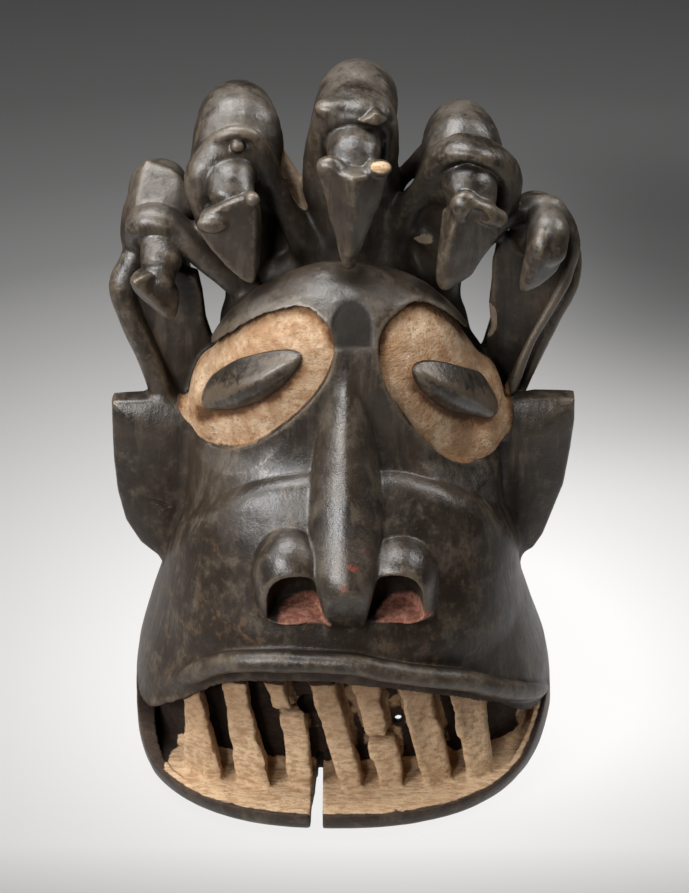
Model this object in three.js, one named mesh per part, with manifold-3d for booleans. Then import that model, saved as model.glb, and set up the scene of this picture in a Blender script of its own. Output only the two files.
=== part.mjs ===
// Carved wooden helmet mask with an openwork crown of five crouching animals.
// Millimetres, +Z up. The neck rim stands on z = 0, the face looks along -Y, +X is the viewer's right.
import * as THREE from 'three';
import { ConvexGeometry } from 'three/examples/jsm/geometries/ConvexGeometry.js';
import Module from 'manifold-3d';

const wasm = await Module();
wasm.setup();

// Shift that brings the middle of the mask's depth on to y = 0
const depthShift = 16;

// Helmet: height, half width, front and back of each level
const headLevels = [
  [0, 118, -112, 142],
  [40, 124, -126, 150],
  [90, 128, -128, 154],
  [140, 125, -118, 156],
  [200, 120, -102, 156],
  [250, 120, -97, 152],
  [290, 121, -98, 144],
  [325, 115, -99, 128],
  [355, 99, -95, 104],
  [380, 78, -82, 76],
  [396, 50, -58, 46],
  [403, 20, -25, 18],
];
const headPower = 2.3;
const headMiddle = 15;
const wall = 20;
// Roof of the helmet, which falls away behind the forehead: depth, half width and rise of each arch
const roofLevels = [
  [-220, 230, 420],
  [-62, 153, 232],
  [-40, 138, 206],
  [-20, 133, 186],
  [0, 131, 170],
  [30, 129, 150],
  [60, 127, 124],
  [100, 129, 86],
  [130, 131, 48],
  [160, 132, 4],
];
const roofBase = 200;
// Temples that the outer ends of the eye ovals lie on: middle and radii
const temples = [
  { middle: [-99, -25, 271], radii: [19, 34, 47] },
  { middle: [103, -25, 262], radii: [20, 34, 52] },
];

// Muzzle and jaw: height, half width, front, shift to the viewer's left and section power of each level
const muzzleLevels = [
  [4, 153, -184, 0, 2.42], [12, 156, -187.5, 0, 2.42], [22, 158, -188, 0, 2.42], [50, 158, -182, 1, 2.4],
  [70, 155, -175, 1.5, 2.4], [87, 150, -169, 2.5, 2.4], [105, 144, -164, 3, 2.4],
  [123, 138, -163, 3, 2.4], [142, 134, -166, 2, 2.4], [154, 132, -164, 1.5, 2.4], [165, 131, -160, 1, 2.4],
  [190, 128, -152, 0, 2.4], [216, 124, -142, 0, 2.4], [240, 119, -130, 0, 2.4],
  [258, 114, -118, 0, 2.4], [275, 108, -102, 0, 2.4], [310, 94, -78, 0, 2.4], [340, 80, -60, 0, 2.4],
];
const muzzleMiddle = -28;
// The jaw is carved a little off to the viewer's left
const jawSlew = 5.5;
const muzzleBack = 82;
// Fill that lets the cheeks run out on to the muzzle: height, half width and front
const cheekLevels = [
  [200, 121, -143], [240, 114, -125], [258, 109, -113], [280, 104, -103], [305, 92, -94],
];
// Upper edge of the muzzle seen from the front: x and z
const muzzleArc = [
  [-150, 120], [-133, 164], [-120, 194], [-104, 220], [-86, 238], [-68, 251], [-46, 259], [-25, 263],
  [0, 264],
  [40, 263], [68, 252], [98, 229], [117, 200], [134, 162], [150, 120],
];

// Mouth: lower edge of the upper lip seen from the front, then the recess behind the teeth
const lipEdge = [
  [-170, 53], [-150, 56], [-135, 71], [-117, 87], [-94, 105], [-72, 115], [-40, 120], [-10, 120],
  [40, 112], [77, 100], [114, 80], [140, 54], [170, 40],
];
const shelfTop = 20;
const recessHalfWidth = 142;
const recessFront = -128;
const recessMiddle = -58;
const lipRidge = [
  [-152, -60, 52], [-138, -98, 73], [-117, -125, 99], [-90, -149, 128], [-60, -164, 140], [0, -172, 143],
  [30, -171, 136], [58, -163, 126], [90, -148, 112], [122, -124, 88], [144, -92, 66], [153, -60, 48],
];
const lipRadius = 8;

// Lower jaw: the lowest levels of the muzzle, cut off level with the shelf
const jawBottom = 4;
const cheekBack = -62;
// Raised rim that climbs from the jaw to each corner of the mouth
const rimPath = [[149, -56, 44], [142, -92, 24], [130, -124, 15]];

// Teeth: bottom x and y, top x, half width, and for a broken bar the heights of the gap
const toothTop = 126;
const toothSetBack = 10;
const toothDepth = 20;
// Turn of the tooth faces away from the middle of the mouth
const toothTurn = 0.6;
const teeth = [
  { foot: -103, y: -139, head: -115, half: 10 },
  { foot: -67, y: -149, head: -86, half: 10 },
  { foot: -32, y: -153, head: -58, half: 9, gap: [84, 94] },
  { foot: 6, y: -154, head: -22, half: 9 },
  { foot: 34, y: -151, head: 10, half: 9, gap: [58, 66] },
  { foot: 69, y: -147, head: 46, half: 10 },
  { foot: 100, y: -139, head: 86, half: 10 },
];

// Nose: height, half width and front of each level
const noseLevels = [
  [338, 4, -97],
  [322, 12, -105],
  [300, 18, -116],
  [275, 23, -129],
  [250, 26, -145],
  [230, 26, -161],
  [211, 24, -179],
  [198, 21, -175],
  [182, 17, -168],
  [168, 14, -162],
  [156, 12, -157],
];
const noseBack = 26;
const nostrils = [
  { x: -38, floorX: -35, top: 233 },
  { x: 39, floorX: 36, top: 227 },
];
const nostrilHalf = 20;
const nostrilFloor = 171;
// Hood over a nostril: height, half width and half depth of its straight part
const hoodLevels = [[168, 27.3, 27], [182, 28, 31], [196, 28.5, 33]];

// Eyes: middle, half length, half height and slant of the recessed oval and of the almond eyeball
const eyes = [
  { ring: [-65, 319], ringHalf: [74, 33], ringTilt: 47, ball: [-67, 319], ballHalf: [47, 14], ballTilt: 40, side: -1 },
  { ring: [74, 311], ringHalf: [74, 32], ringTilt: 122, ball: [82, 306], ballHalf: [44, 14], ballTilt: 140, side: 1 },
];
const ringDepth = 6;

// Small arched niche in the middle of the forehead
const niche = { x: 5, half: 14, bottom: 357, top: 385, depth: 2 };

// Ears: outline of each seen from the front
const earOutlines = [
  [
    [-104, 276], [-140, 281], [-172, 279], [-172, 264], [-172, 225], [-170, 200], [-165, 176],
    [-154, 156], [-139, 142], [-125, 140], [-104, 158],
  ],
  [
    [104, 276], [140, 282], [170, 281], [170, 262], [168, 238], [164, 206], [157, 184], [150, 163], [143, 151],
    [131, 143], [120, 144], [104, 160],
  ],
];
const earBack = -6;
const earFront = -36;

// Open drying crack through the lower jaw, seen from above
const crackOutline = [[-16, -230], [-27.5, -230], [-24.5, -160], [-19.5, -108], [-16, -108]];
const crackTop = 36;

// Directions that count as across a limb
const across = [1, 0, 0];
const along = [0, 1, 0];
// Crown: bodies, arms, necks and straps as rounded limbs, with radii across and through
const crownLimbs = [
  {
    points: [
      [-76, 8, 330], [-45, 8, 362], [0, 8, 378], [45, 8, 362], [74, 8, 330],
    ],
    radii: [
      [14, 15], [15, 16], [16, 16], [15, 16], [14, 15],
    ],
    side: along,
    stations: 6,
    sides: 7,
  },
  {
    points: [
      [3, 14, 338], [4, 12, 420], [6, 10, 477], [9, 28, 494], [10, 62, 474], [6, 80, 400], [4, 84, 285],
    ],
    radii: [
      [34, 24], [33, 24], [31, 25], [29, 27], [26, 24], [23, 19], [24, 20],
    ],
    side: across,
    stations: 8,
    sides: 8,
  },
  {
    points: [
      [-20, 2, 436], [-18, -4, 466], [-15, -12, 487], [-7, -17, 500], [10, -19, 503], [24, -15, 500],
      [29, -8, 486], [29, -4, 466], [29, 2, 436],
    ],
    radii: [
      [10, 9], [12, 9], [13, 10], [13, 11], [12, 11], [12, 11], [11, 9], [10, 8], [10, 9],
    ],
    side: along,
    stations: 8,
    sides: 7,
  },
  {
    points: [
      [6, -12, 483], [7, -34, 482], [7, -48, 477],
    ],
    radii: [
      [20, 18], [20, 17], [17, 12],
    ],
    side: across,
    stations: 2,
    sides: 7,
  },
  {
    points: [
      [72, 0, 396], [60, -3, 398], [54, -4, 402],
    ],
    radii: [
      [6, 5], [5, 4], [3, 3],
    ],
    side: across,
    stations: 2,
    sides: 6,
  },
  {
    points: [
      [-68, 14, 318], [-73, 12, 400], [-76, 8, 464], [-77, 28, 480], [-76, 58, 456], [-72, 78, 380],
      [-70, 82, 262],
    ],
    radii: [
      [15, 18], [22, 20], [33, 26], [27, 27], [23, 22], [17, 17], [18, 18],
    ],
    side: across,
    stations: 8,
    sides: 8,
  },
  {
    points: [
      [-92, -20, 420], [-98, -22, 438], [-100, -22, 456], [-92, -20, 471], [-76, -18, 477],
      [-61, -16, 468], [-50, -10, 442], [-39, -2, 414], [-18, 6, 372],
    ],
    radii: [
      [13, 12], [15, 13], [15, 13], [13, 12], [11, 12], [9, 10], [9, 9], [10, 10], [18, 13],
    ],
    side: along,
    stations: 8,
    sides: 7,
  },
  {
    points: [
      [-97, -19, 476], [-88, -23, 487], [-76, -25, 492], [-65, -24, 489], [-57, -19, 476], [-51, -12, 456],
    ],
    radii: [
      [5, 5], [5, 5], [5, 5], [5, 5], [5, 5], [5, 5],
    ],
    side: along,
    stations: 6,
    sides: 5,
  },
  {
    points: [
      [-80, -12, 460], [-80, -30, 458], [-80, -42, 453],
    ],
    radii: [
      [19, 17], [18, 16], [16, 12],
    ],
    side: across,
    stations: 2,
    sides: 7,
  },
  {
    points: [
      [-126, -2, 262], [-134, 0, 330], [-138, 4, 378], [-136, 20, 416], [-134, 36, 420], [-134, 54, 370],
      [-110, 58, 236],
    ],
    radii: [
      [16, 12], [20, 12], [20, 16], [22, 20], [21, 19], [16, 16], [16, 18],
    ],
    side: across,
    stations: 8,
    sides: 7,
  },
  {
    points: [
      [-147, -8, 402], [-144, -17, 417], [-130, -20, 420], [-110, -20, 404], [-88, -18, 383],
      [-66, -18, 358],
    ],
    radii: [
      [11, 11], [13, 12], [14, 12], [14, 12], [12, 12], [9, 9],
    ],
    side: along,
    stations: 6,
    sides: 7,
  },
  {
    points: [
      [-152, -8, 384], [-161, -12, 364], [-155, -14, 340], [-143, -16, 308], [-130, -18, 268],
    ],
    radii: [
      [9, 10], [11, 10], [10, 9], [9, 9], [11, 10],
    ],
    side: along,
    stations: 6,
    sides: 6,
  },
  {
    points: [
      [-132, -22, 408], [-131, -35, 397],
    ],
    radii: [
      [15, 13], [15, 13],
    ],
    side: across,
    stations: 1,
    sides: 7,
  },
  {
    points: [
      [-131, -34, 396], [-132, -46, 386],
    ],
    radii: [
      [12, 11], [11, 10],
    ],
    side: across,
    stations: 1,
    sides: 7,
  },
  {
    points: [
      [66, 14, 318], [70, 12, 395], [83, 8, 450], [84, 28, 464], [78, 58, 442], [68, 78, 370],
      [66, 82, 262],
    ],
    radii: [
      [15, 18], [22, 20], [30, 26], [25, 27], [22, 22], [17, 17], [18, 18],
    ],
    side: across,
    stations: 8,
    sides: 8,
  },
  {
    points: [
      [108, -12, 420], [115, -16, 440], [113, -19, 458], [104, -25, 473], [91, -29, 481], [78, -27, 480],
      [66, -21, 465], [56, -15, 444], [45, -11, 427], [37, 2, 396], [33, 6, 362],
    ],
    radii: [
      [9, 9], [10, 11], [12, 12], [15, 10], [16, 9], [14, 10], [11, 10], [9, 9], [8, 8], [11, 10],
      [17, 14],
    ],
    side: along,
    stations: 9,
    sides: 7,
  },
  {
    points: [
      [64, 10, 470], [54, 8, 458], [45, 10, 446], [38, 10, 434], [35, 8, 420], [34, 8, 400],
    ],
    radii: [
      [6, 6], [5, 6], [5, 6], [5, 6], [6, 7], [8, 8],
    ],
    side: along,
    stations: 6,
    sides: 6,
  },
  {
    points: [
      [87, -14, 458], [88, -32, 456], [90, -42, 446],
    ],
    radii: [
      [20, 19], [20, 18], [17, 13],
    ],
    side: across,
    stations: 2,
    sides: 7,
  },
  {
    points: [
      [92, -56, 447], [100, -54, 443], [108, -50, 437],
    ],
    radii: [
      [8, 8], [8, 8], [7, 7],
    ],
    side: across,
    stations: 2,
    sides: 6,
  },
  {
    points: [
      [100, -4, 400], [112, -8, 416], [126, -10, 424], [138, -10, 428], [148, -10, 427], [157, -10, 416],
      [163, -12, 402], [164, -13, 390], [160, -14, 371], [148, -16, 346], [135, -18, 320], [122, -20, 284],
    ],
    radii: [
      [10, 9], [9, 9], [8, 8], [8, 8], [8, 8], [8, 7], [7, 6], [5, 5], [4, 4], [3.5, 3.5], [3.5, 3.5],
      [5, 5],
    ],
    side: along,
    stations: 10,
    sides: 6,
  },
  {
    points: [
      [160, -2, 400], [167, 2, 384], [166, 0, 360], [155, -2, 336], [144, -4, 311], [132, -6, 282],
      [122, -8, 262],
    ],
    radii: [
      [5, 5], [4, 5], [4, 5], [4, 5], [4, 5], [4, 5], [6, 6],
    ],
    side: along,
    stations: 8,
    sides: 6,
  },
  {
    points: [
      [136, -2, 402], [138, 24, 406], [136, 52, 360], [110, 58, 236],
    ],
    radii: [
      [17, 16], [18, 16], [14, 16], [16, 18],
    ],
    side: across,
    stations: 4,
    sides: 7,
  },
  {
    points: [
      [143, -14, 422], [145, -30, 418], [144, -38, 408],
    ],
    radii: [
      [13, 12], [15, 14], [15, 14],
    ],
    side: across,
    stations: 2,
    sides: 7,
  },
];
// Crown: corners of the cut faces of the hanging heads, of the leftmost back and of one raised point
const crownWedges = [
  [
    [-16, -62, 486], [-19, -64, 478], [-17, -64, 465], [-11, -62, 447], [-7, -60, 423], [-2, -60, 405],
    [3, -60, 402], [9, -59, 405], [15, -58, 422], [20, -58, 438], [25, -60, 452], [31, -62, 472],
    [31, -60, 480], [6, -78, 481], [6, -76, 455], [4, -69, 418], [-14, -44, 476], [28, -44, 474],
    [-10, -46, 444], [22, -46, 444], [0, -50, 403], [7, -50, 403],
  ],
  [
    [-103, -58, 444], [-65, -62, 464], [-62, -64, 455], [-63, -56, 460], [-58, -50, 446], [-57, -50, 435],
    [-60, -48, 393], [-64, -52, 384], [-75, -54, 389], [-95, -58, 415], [-103, -60, 429], [-104, -60, 439],
    [-63, -56, 392], [-98, -34, 440], [-64, -32, 454], [-61, -34, 404], [-68, -44, 386], [-88, -38, 412],
  ],
  [
    [-154, -53, 392], [-142, -57, 397], [-127, -50, 392], [-150, -63, 393], [-127, -60, 364],
    [-117, -49, 374], [-120, -50, 356], [-129, -51, 357], [-152, -53, 383], [-144, -51, 371],
    [-148, -36, 392], [-130, -32, 392], [-118, -36, 376], [-123, -42, 360], [-143, -38, 372],
  ],
  [
    [68, -46, 442], [65, -50, 418], [63, -52, 391], [67, -52, 381], [72, -52, 379], [83, -50, 385],
    [91, -48, 389], [98, -46, 400], [110, -46, 421], [113, -46, 428], [82, -60, 456], [74, -64, 430],
    [73, -58, 389], [95, -58, 449], [82, -34, 445], [106, -32, 425], [104, -34, 410], [68, -40, 386],
    [82, -38, 388],
  ],
  [
    [131, -46, 428], [127, -48, 416], [124, -48, 398], [117, -46, 377], [119, -46, 367], [124, -46, 365],
    [135, -44, 370], [149, -42, 379], [159, -34, 388], [160, -32, 406], [154, -36, 423], [144, -44, 434],
    [143, -60, 418], [136, -58, 395], [124, -50, 371], [150, -18, 425], [156, -18, 400], [134, -24, 425],
    [130, -26, 395], [148, -24, 385],
  ],
  [
    [-143, 14, 453], [-128, 12, 450], [-117, 6, 446], [-111, 0, 438], [-106, -8, 424], [-126, -20, 421],
    [-150, -18, 421], [-163, 0, 398], [-162, 4, 411], [-157, 10, 430], [-140, 36, 444], [-118, 32, 436],
    [-104, 30, 410], [-160, 32, 400], [-158, -8, 380], [-118, -10, 380], [-110, 30, 380], [-152, 30, 380],
  ],
  [
    [22, -36, 513], [7, -33, 503], [34, -27, 502], [23, -37, 500], [22, -10, 513], [7, -12, 498],
    [35, -10, 500],
  ],
];
// Crown: eye knobs, bosses and shoulders, middle and radii
const crownLumps = [
  [[-10, -62, 484], [9, 7, 7]],
  [[23, -62, 482], [10, 8, 6]],
  [[-92, -60, 438], [12, 5, 7]],
  [[84, -57, 451], [10, 8, 11]],
  [[-64, -64, 459], [5, 5, 5]],
  [[-10, -20, 509], [11, 9, 7]],
  [[-75, -28, 483], [5, 5, 5]],
  [[6, -6, 501], [25, 20, 17]],
  [[-80, -6, 457], [29, 20, 20]],
  [[83, -8, 452], [27, 22, 22]],
];
// Crown: flat webs of wood between the animals
const crownWebs = [
  {
    outline: [
      [-152, 388], [-106, 372], [-103, 356], [-101, 334], [-96, 316], [-104, 262], [-130, 262],
      [-143, 308], [-160, 350],
    ],
    front: -12,
    back: 4,
  },
  {
    outline: [
      [105, 346], [107, 327], [103, 318], [100, 262], [121, 262], [125, 277], [131, 298], [149, 338],
      [161, 365], [161, 390], [155, 410], [119, 402], [112, 410], [107, 381],
    ],
    front: -8,
    back: 3,
  },
  {
    outline: [
      [-56, 474], [-46, 464], [-28, 433], [-18, 406], [-4, 369], [-40, 352], [-50, 369], [-54, 384],
      [-50, 398], [-62, 410], [-64, 440],
    ],
    front: 8,
    back: 22,
  },
  {
    outline: [
      [34, 404], [52, 424], [64, 430], [80, 400], [84, 372], [60, 350], [20, 360],
    ],
    front: 4,
    back: 16,
  },
];

// Faces per ring
const fineSides = 24;
const limbSides = 7;
// Faces flatter than this against their neighbours are joined, in millimetres
const smallest = 0.9;

/** Joins rings of equal length into a closed solid, each end capped on its middle. */
function loft(rings) {
  const count = rings[0].length;
  const positions = rings.flat(2);
  const index = [];
  for (let level = 0; level < rings.length - 1; level += 1) {
    for (let i = 0; i < count; i += 1) {
      const next = (i + 1) % count;
      const a = level * count + i;
      const b = level * count + next;
      const c = a + count;
      const d = b + count;
      index.push(a, b, d, a, d, c);
    }
  }
  [0, rings.length - 1].forEach((level) => {
    const middle = [0, 1, 2].map((axis) => rings[level].reduce((sum, p) => sum + p[axis], 0) / count);
    const hub = positions.length / 3;
    positions.push(...middle);
    for (let i = 0; i < count; i += 1) {
      const a = level * count + i;
      const b = level * count + ((i + 1) % count);
      if (level === 0) index.push(hub, b, a);
      else index.push(hub, a, b);
    }
  });
  const geometry = new THREE.BufferGeometry();
  geometry.setAttribute('position', new THREE.Float32BufferAttribute(positions, 3));
  geometry.setIndex(index);
  return geometry;
}

/** Turns a closed geometry into a solid that can be joined and cut, outward side out. */
function toSolid(geometry) {
  const position = geometry.attributes.position;
  const keys = new Map();
  const vertices = [];
  const remap = [];
  for (let i = 0; i < position.count; i += 1) {
    const p = [position.getX(i), position.getY(i), position.getZ(i)];
    const key = p.map((value) => Math.round(value * 1e4)).join(',');
    if (!keys.has(key)) {
      keys.set(key, vertices.length / 3);
      vertices.push(...p);
    }
    remap.push(keys.get(key));
  }
  const source = geometry.index ? Array.from(geometry.index.array) : remap.map((value, i) => i);
  const triangles = [];
  let volume = 0;
  for (let i = 0; i < source.length; i += 3) {
    const [a, b, c] = [remap[source[i]], remap[source[i + 1]], remap[source[i + 2]]];
    if (a !== b && b !== c && c !== a) {
      triangles.push(a, b, c);
      const [p, q, r] = [a, b, c].map((n) => new THREE.Vector3(...vertices.slice(3 * n, 3 * n + 3)));
      volume += p.dot(q.cross(r)) / 6;
    }
  }
  if (volume < 0) {
    for (let i = 0; i < triangles.length; i += 3) {
      [triangles[i + 1], triangles[i + 2]] = [triangles[i + 2], triangles[i + 1]];
    }
  }
  const mesh = new wasm.Mesh({
    numProp: 3,
    vertProperties: new Float32Array(vertices),
    triVerts: new Uint32Array(triangles),
  });
  return new wasm.Manifold(mesh);
}

/** Value of a level table at a height. */
function levelAt(levels, z) {
  const up = levels[0][0] < levels[levels.length - 1][0] ? levels : [...levels].reverse();
  if (z <= up[0][0]) return up[0].slice(1);
  for (let i = 1; i < up.length; i += 1) {
    if (z <= up[i][0]) {
      const t = (z - up[i - 1][0]) / (up[i][0] - up[i - 1][0]);
      return up[i].slice(1).map((value, k) => THREE.MathUtils.lerp(up[i - 1][k + 1], value, t));
    }
  }
  return up[up.length - 1].slice(1);
}

/** One horizontal ring with separate front and back, from a rounded square to an oval by its power. */
function ovalRing(z, halfWidth, front, back, middle, power, sides = fineSides) {
  const ring = [];
  for (let i = 0; i < sides; i += 1) {
    const angle = (2 * Math.PI * i) / sides;
    const c = Math.cos(angle);
    const s = Math.sin(angle);
    const x = halfWidth * Math.sign(c) * Math.abs(c) ** (2 / power);
    const reach = s < 0 ? middle - front : back - middle;
    ring.push([x, middle + reach * Math.sign(s) * Math.abs(s) ** (2 / power), z]);
  }
  return ring;
}

/** Everything below the helmet's roof, or below a roof set in by a given distance. */
function roofSolid(inset, steps = 11) {
  const rings = roofLevels.map(([y, halfWidth, rise]) => {
    const ring = [[-halfWidth - 40, y, -30]];
    for (let i = 0; i <= steps; i += 1) {
      const angle = Math.PI * (1 - i / steps);
      ring.push([(halfWidth - inset) * Math.cos(angle), y, roofBase - inset + Math.max(rise, 4) * Math.sin(angle)]);
    }
    ring.push([halfWidth + 40, y, -30]);
    return ring;
  });
  return toSolid(loft(rings));
}

/** Helmet body, or the same body a given distance inside its surface. */
function headSolid(inset, sides = fineSides) {
  const rings = headLevels
    .filter(([, halfWidth, front, back]) => halfWidth > inset + 8 && back - front > 2 * inset + 16)
    .map(([z, halfWidth, front, back]) => {
      const low = inset > 0 && z === 0 ? -10 : z;
      return ovalRing(low, halfWidth - inset, front + inset, back - inset, headMiddle, headPower, sides);
    });
  return toSolid(loft(rings)).intersect(roofSolid(inset));
}

/** Prism from an outline in the front view, running through a depth range. */
function frontPrism(outline, front, back, bevel = 0) {
  const shape = new THREE.Shape(outline.map(([x, z]) => new THREE.Vector2(x, z)));
  const geometry = new THREE.ExtrudeGeometry(shape, {
    depth: back - front - 2 * bevel,
    bevelEnabled: bevel > 0,
    bevelSize: bevel,
    bevelThickness: bevel,
    bevelOffset: -bevel,
    bevelSegments: 2,
    curveSegments: 6,
  });
  geometry.rotateX(Math.PI / 2);
  geometry.translate(0, back - bevel, 0);
  return toSolid(geometry);
}

/** Rounded limb along a smooth path; radii are [across, through] at even steps of the path. */
function limb(points, radii, sideHint = [1, 0, 0], stations = 10, sides = limbSides) {
  const curve = new THREE.CatmullRomCurve3(points.map((p) => new THREE.Vector3(...p)));
  const hint = new THREE.Vector3(...sideHint);
  const rings = [];
  for (let i = -1; i <= stations + 1; i += 1) {
    const t = THREE.MathUtils.clamp(i / stations, 0, 1);
    const place = t * (radii.length - 1);
    const k = Math.min(Math.floor(place), radii.length - 2);
    const size = [0, 1].map((axis) => THREE.MathUtils.lerp(radii[k][axis], radii[k + 1][axis], place - k));
    const point = curve.getPoint(t);
    const tangent = curve.getTangent(t);
    const side = hint.clone().addScaledVector(tangent, -hint.dot(tangent)).normalize();
    const up = tangent.clone().cross(side);
    let scale = 1;
    if (i < 0 || i > stations) {
      scale = 0.55;
      point.addScaledVector(tangent, Math.sign(i) * 0.45 * Math.min(...size));
    }
    const ring = [];
    for (let j = 0; j < sides; j += 1) {
      const angle = (2 * Math.PI * j) / sides;
      const p = point.clone()
        .addScaledVector(side, scale * size[0] * Math.cos(angle))
        .addScaledVector(up, scale * size[1] * Math.sin(angle));
      ring.push(p.toArray());
    }
    rings.push(ring);
  }
  return toSolid(loft(rings));
}

/** Ellipsoid with its own turn about the three axes, in degrees. */
function lump(centre, radii, turn = [0, 0, 0], across = 7, along = 5) {
  const geometry = new THREE.SphereGeometry(1, across, along);
  geometry.rotateX(Math.PI / 2);
  geometry.scale(...radii);
  const [rx, ry, rz] = turn.map(THREE.MathUtils.degToRad);
  geometry.applyMatrix4(new THREE.Matrix4().makeRotationFromEuler(new THREE.Euler(rx, ry, rz)));
  geometry.translate(...centre);
  return toSolid(geometry);
}

/** Depth of the helmet's front at a place of the front view. */
function headFrontAt(x, z) {
  const [halfWidth, front] = levelAt(headLevels, z);
  const inside = Math.max(0, 1 - Math.abs(x / halfWidth) ** headPower);
  return headMiddle - (headMiddle - front) * inside ** (1 / headPower);
}

/** Rings of the muzzle and jaw at the given heights. */
function muzzleRings(heights) {
  return heights.map((z) => {
    const [halfWidth, front, shift, power] = levelAt(muzzleLevels, z);
    const slew = jawSlew * THREE.MathUtils.clamp((110 - z) / 60, 0, 1);
    return ovalRing(z, halfWidth, front, muzzleBack, muzzleMiddle, power).map(([x, y, h]) => (
      [x - shift - slew * THREE.MathUtils.clamp((-45 - y) / 75, 0, 1), y, h]
    ));
  });
}

/** Muzzle dome, cut along its upper arc. */
function muzzleSolid() {
  const heights = [24, 50, 87, 123, 142, 190, 240, 275];
  const below = [...muzzleArc, [175, 90], [175, 10], [-175, 10], [-175, 90]];
  return toSolid(loft(muzzleRings(heights))).intersect(frontPrism(below, -260, 120));
}

/** Fill between the cheeks and the upper edge of the muzzle. */
function cheekFill() {
  return toSolid(loft(cheekLevels.map(([z, halfWidth, front]) => (
    ovalRing(z, halfWidth, front, 60, muzzleMiddle, 2.4, 24)
  ))));
}

/** Space in front of the recess wall, below the lip and above the jaw's shelf. */
function mouthSpace() {
  const low = [];
  const steps = 20;
  for (let i = 0; i <= steps; i += 1) {
    const angle = (Math.PI * i) / steps;
    const x = -recessHalfWidth * Math.cos(angle);
    low.push([x, recessMiddle - (recessMiddle - recessFront) * Math.sin(angle) ** 0.8]);
  }
  const plan = [[-230, recessMiddle], ...low, [230, recessMiddle], [230, -260], [-230, -260]];
  const rings = [shelfTop, 150].map((z) => plan.map(([x, y]) => [x, y, z]));
  const outline = [...lipEdge, [230, 40], [230, shelfTop - 5], [-230, shelfTop - 5], [-230, 44]];
  return planPrism(plan, rings[0][0][2], rings[1][0][2]).intersect(frontPrism(outline, -260, 0));
}

/** Prism from an outline seen from above, between two heights. */
function planPrism(outline, bottom, top) {
  const shape = new THREE.Shape(outline.map(([x, y]) => new THREE.Vector2(x, y)));
  const geometry = new THREE.ExtrudeGeometry(shape, { depth: top - bottom, bevelEnabled: false });
  geometry.translate(0, 0, bottom);
  return toSolid(geometry);
}

/** Lower jaw with a rounded lower edge. */
function jawSolid() {
  return toSolid(loft(muzzleRings([jawBottom, 12, shelfTop])));
}

/** Cheek posts that carry the corners of the mouth. */
function cheekSolid() {
  const behind = [[-200, cheekBack], [200, cheekBack], [200, 100], [-200, 100]];
  return toSolid(loft(muzzleRings([12, 22, 50, 87, 110]))).intersect(planPrism(behind, 0, 200));
}

/** One tooth bar, leaning, whole or broken through. */
function toothSolids({ foot, y, head, half, gap }) {
  const bar = (low, high) => {
    const rings = [low, high].map((z) => {
      const t = (z - shelfTop) / (toothTop - shelfTop);
      const x = THREE.MathUtils.lerp(foot, head, t);
      const front = THREE.MathUtils.lerp(y, y + toothSetBack, t);
      const turn = (toothTurn * half * foot) / 110;
      return [
        [x - half, front - turn, z],
        [x + half, front + turn, z],
        [x + half, front + toothDepth, z],
        [x - half, front + toothDepth, z],
      ];
    });
    return toSolid(loft(rings));
  };
  if (!gap) return [bar(shelfTop - 4, toothTop)];
  return [bar(shelfTop - 4, gap[0]), bar(gap[1], toothTop)];
}

/** Tube nose that ends in a narrow rounded septum. */
function noseSolid() {
  const rings = noseLevels.map(([z, half, front]) => (
    ovalRing(z, half, front, front + noseBack + 2 * half, front + half, 1.8, 12)
  ));
  return toSolid(loft(rings));
}

/** Hood over one nostril, with the space that is cut from it. */
function nostrilSolid({ x, floorX, top }) {
  const [dome, domeHalf, domeDepth] = hoodLevels[hoodLevels.length - 1];
  const levels = [...hoodLevels];
  [0.5, 0.82, 1].forEach((up) => {
    const size = Math.max(0.15, Math.sqrt(1 - up * up));
    levels.push([dome + up * (top - dome), domeHalf * size, domeDepth * size]);
  });
  const hood = toSolid(loft(levels.map(([z, half, depth]) => (
    ovalRing(z, half, -136 - depth, -136 + depth, -136, 2, 12).map(([px, py, h]) => [px + x, py, h])
  ))));
  const space = lump([floorX, -166, 184], [nostrilHalf * 1.08, 38, 29], [0, 0, 0], 12, 8);
  const hollow = space.intersect(planPrism([[-80, -230], [80, -230], [80, -90], [-80, -90]], nostrilFloor, 240));
  return { hood, hollow };
}

/** Block that cuts out the oval round one eye. */
function eyeOval({ ring, ringHalf, ringTilt, side }) {
  const tilt = THREE.MathUtils.degToRad(ringTilt);
  const outline = [];
  const steps = 22;
  for (let i = 0; i < steps; i += 1) {
    const angle = (2 * Math.PI * i) / steps;
    const u = ringHalf[0] * Math.sign(Math.cos(angle)) * Math.abs(Math.cos(angle)) ** 0.87;
    const v = ringHalf[1] * Math.sign(Math.sin(angle)) * Math.abs(Math.sin(angle)) ** 0.87;
    outline.push([ring[0] + u * Math.cos(tilt) - v * Math.sin(tilt), ring[1] + u * Math.sin(tilt) + v * Math.cos(tilt)]);
  }
  return frontPrism(outline, -140, side < 0 ? -20 : -10);
}

/** Almond eyeball lying in the recess. */
function eyeball({ ball, ballHalf, ballTilt, side }) {
  const tilt = THREE.MathUtils.degToRad(ballTilt);
  const stations = 6;
  const points = [];
  const radii = [];
  for (let i = 0; i <= stations; i += 1) {
    const t = (2 * i) / stations - 1;
    const x = ball[0] + t * ballHalf[0] * Math.cos(tilt);
    const z = ball[1] + t * ballHalf[0] * Math.sin(tilt);
    points.push([x, headFrontAt(x, z) + 3, z]);
    const swell = Math.sqrt(Math.max(0.03, 1 - Math.abs(t) ** 1.7));
    radii.push([ballHalf[1] * swell, 10 * swell]);
  }
  return limb(points, radii, [-Math.sin(tilt), 0.2 * side, Math.cos(tilt)], stations, 8);
}

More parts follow.
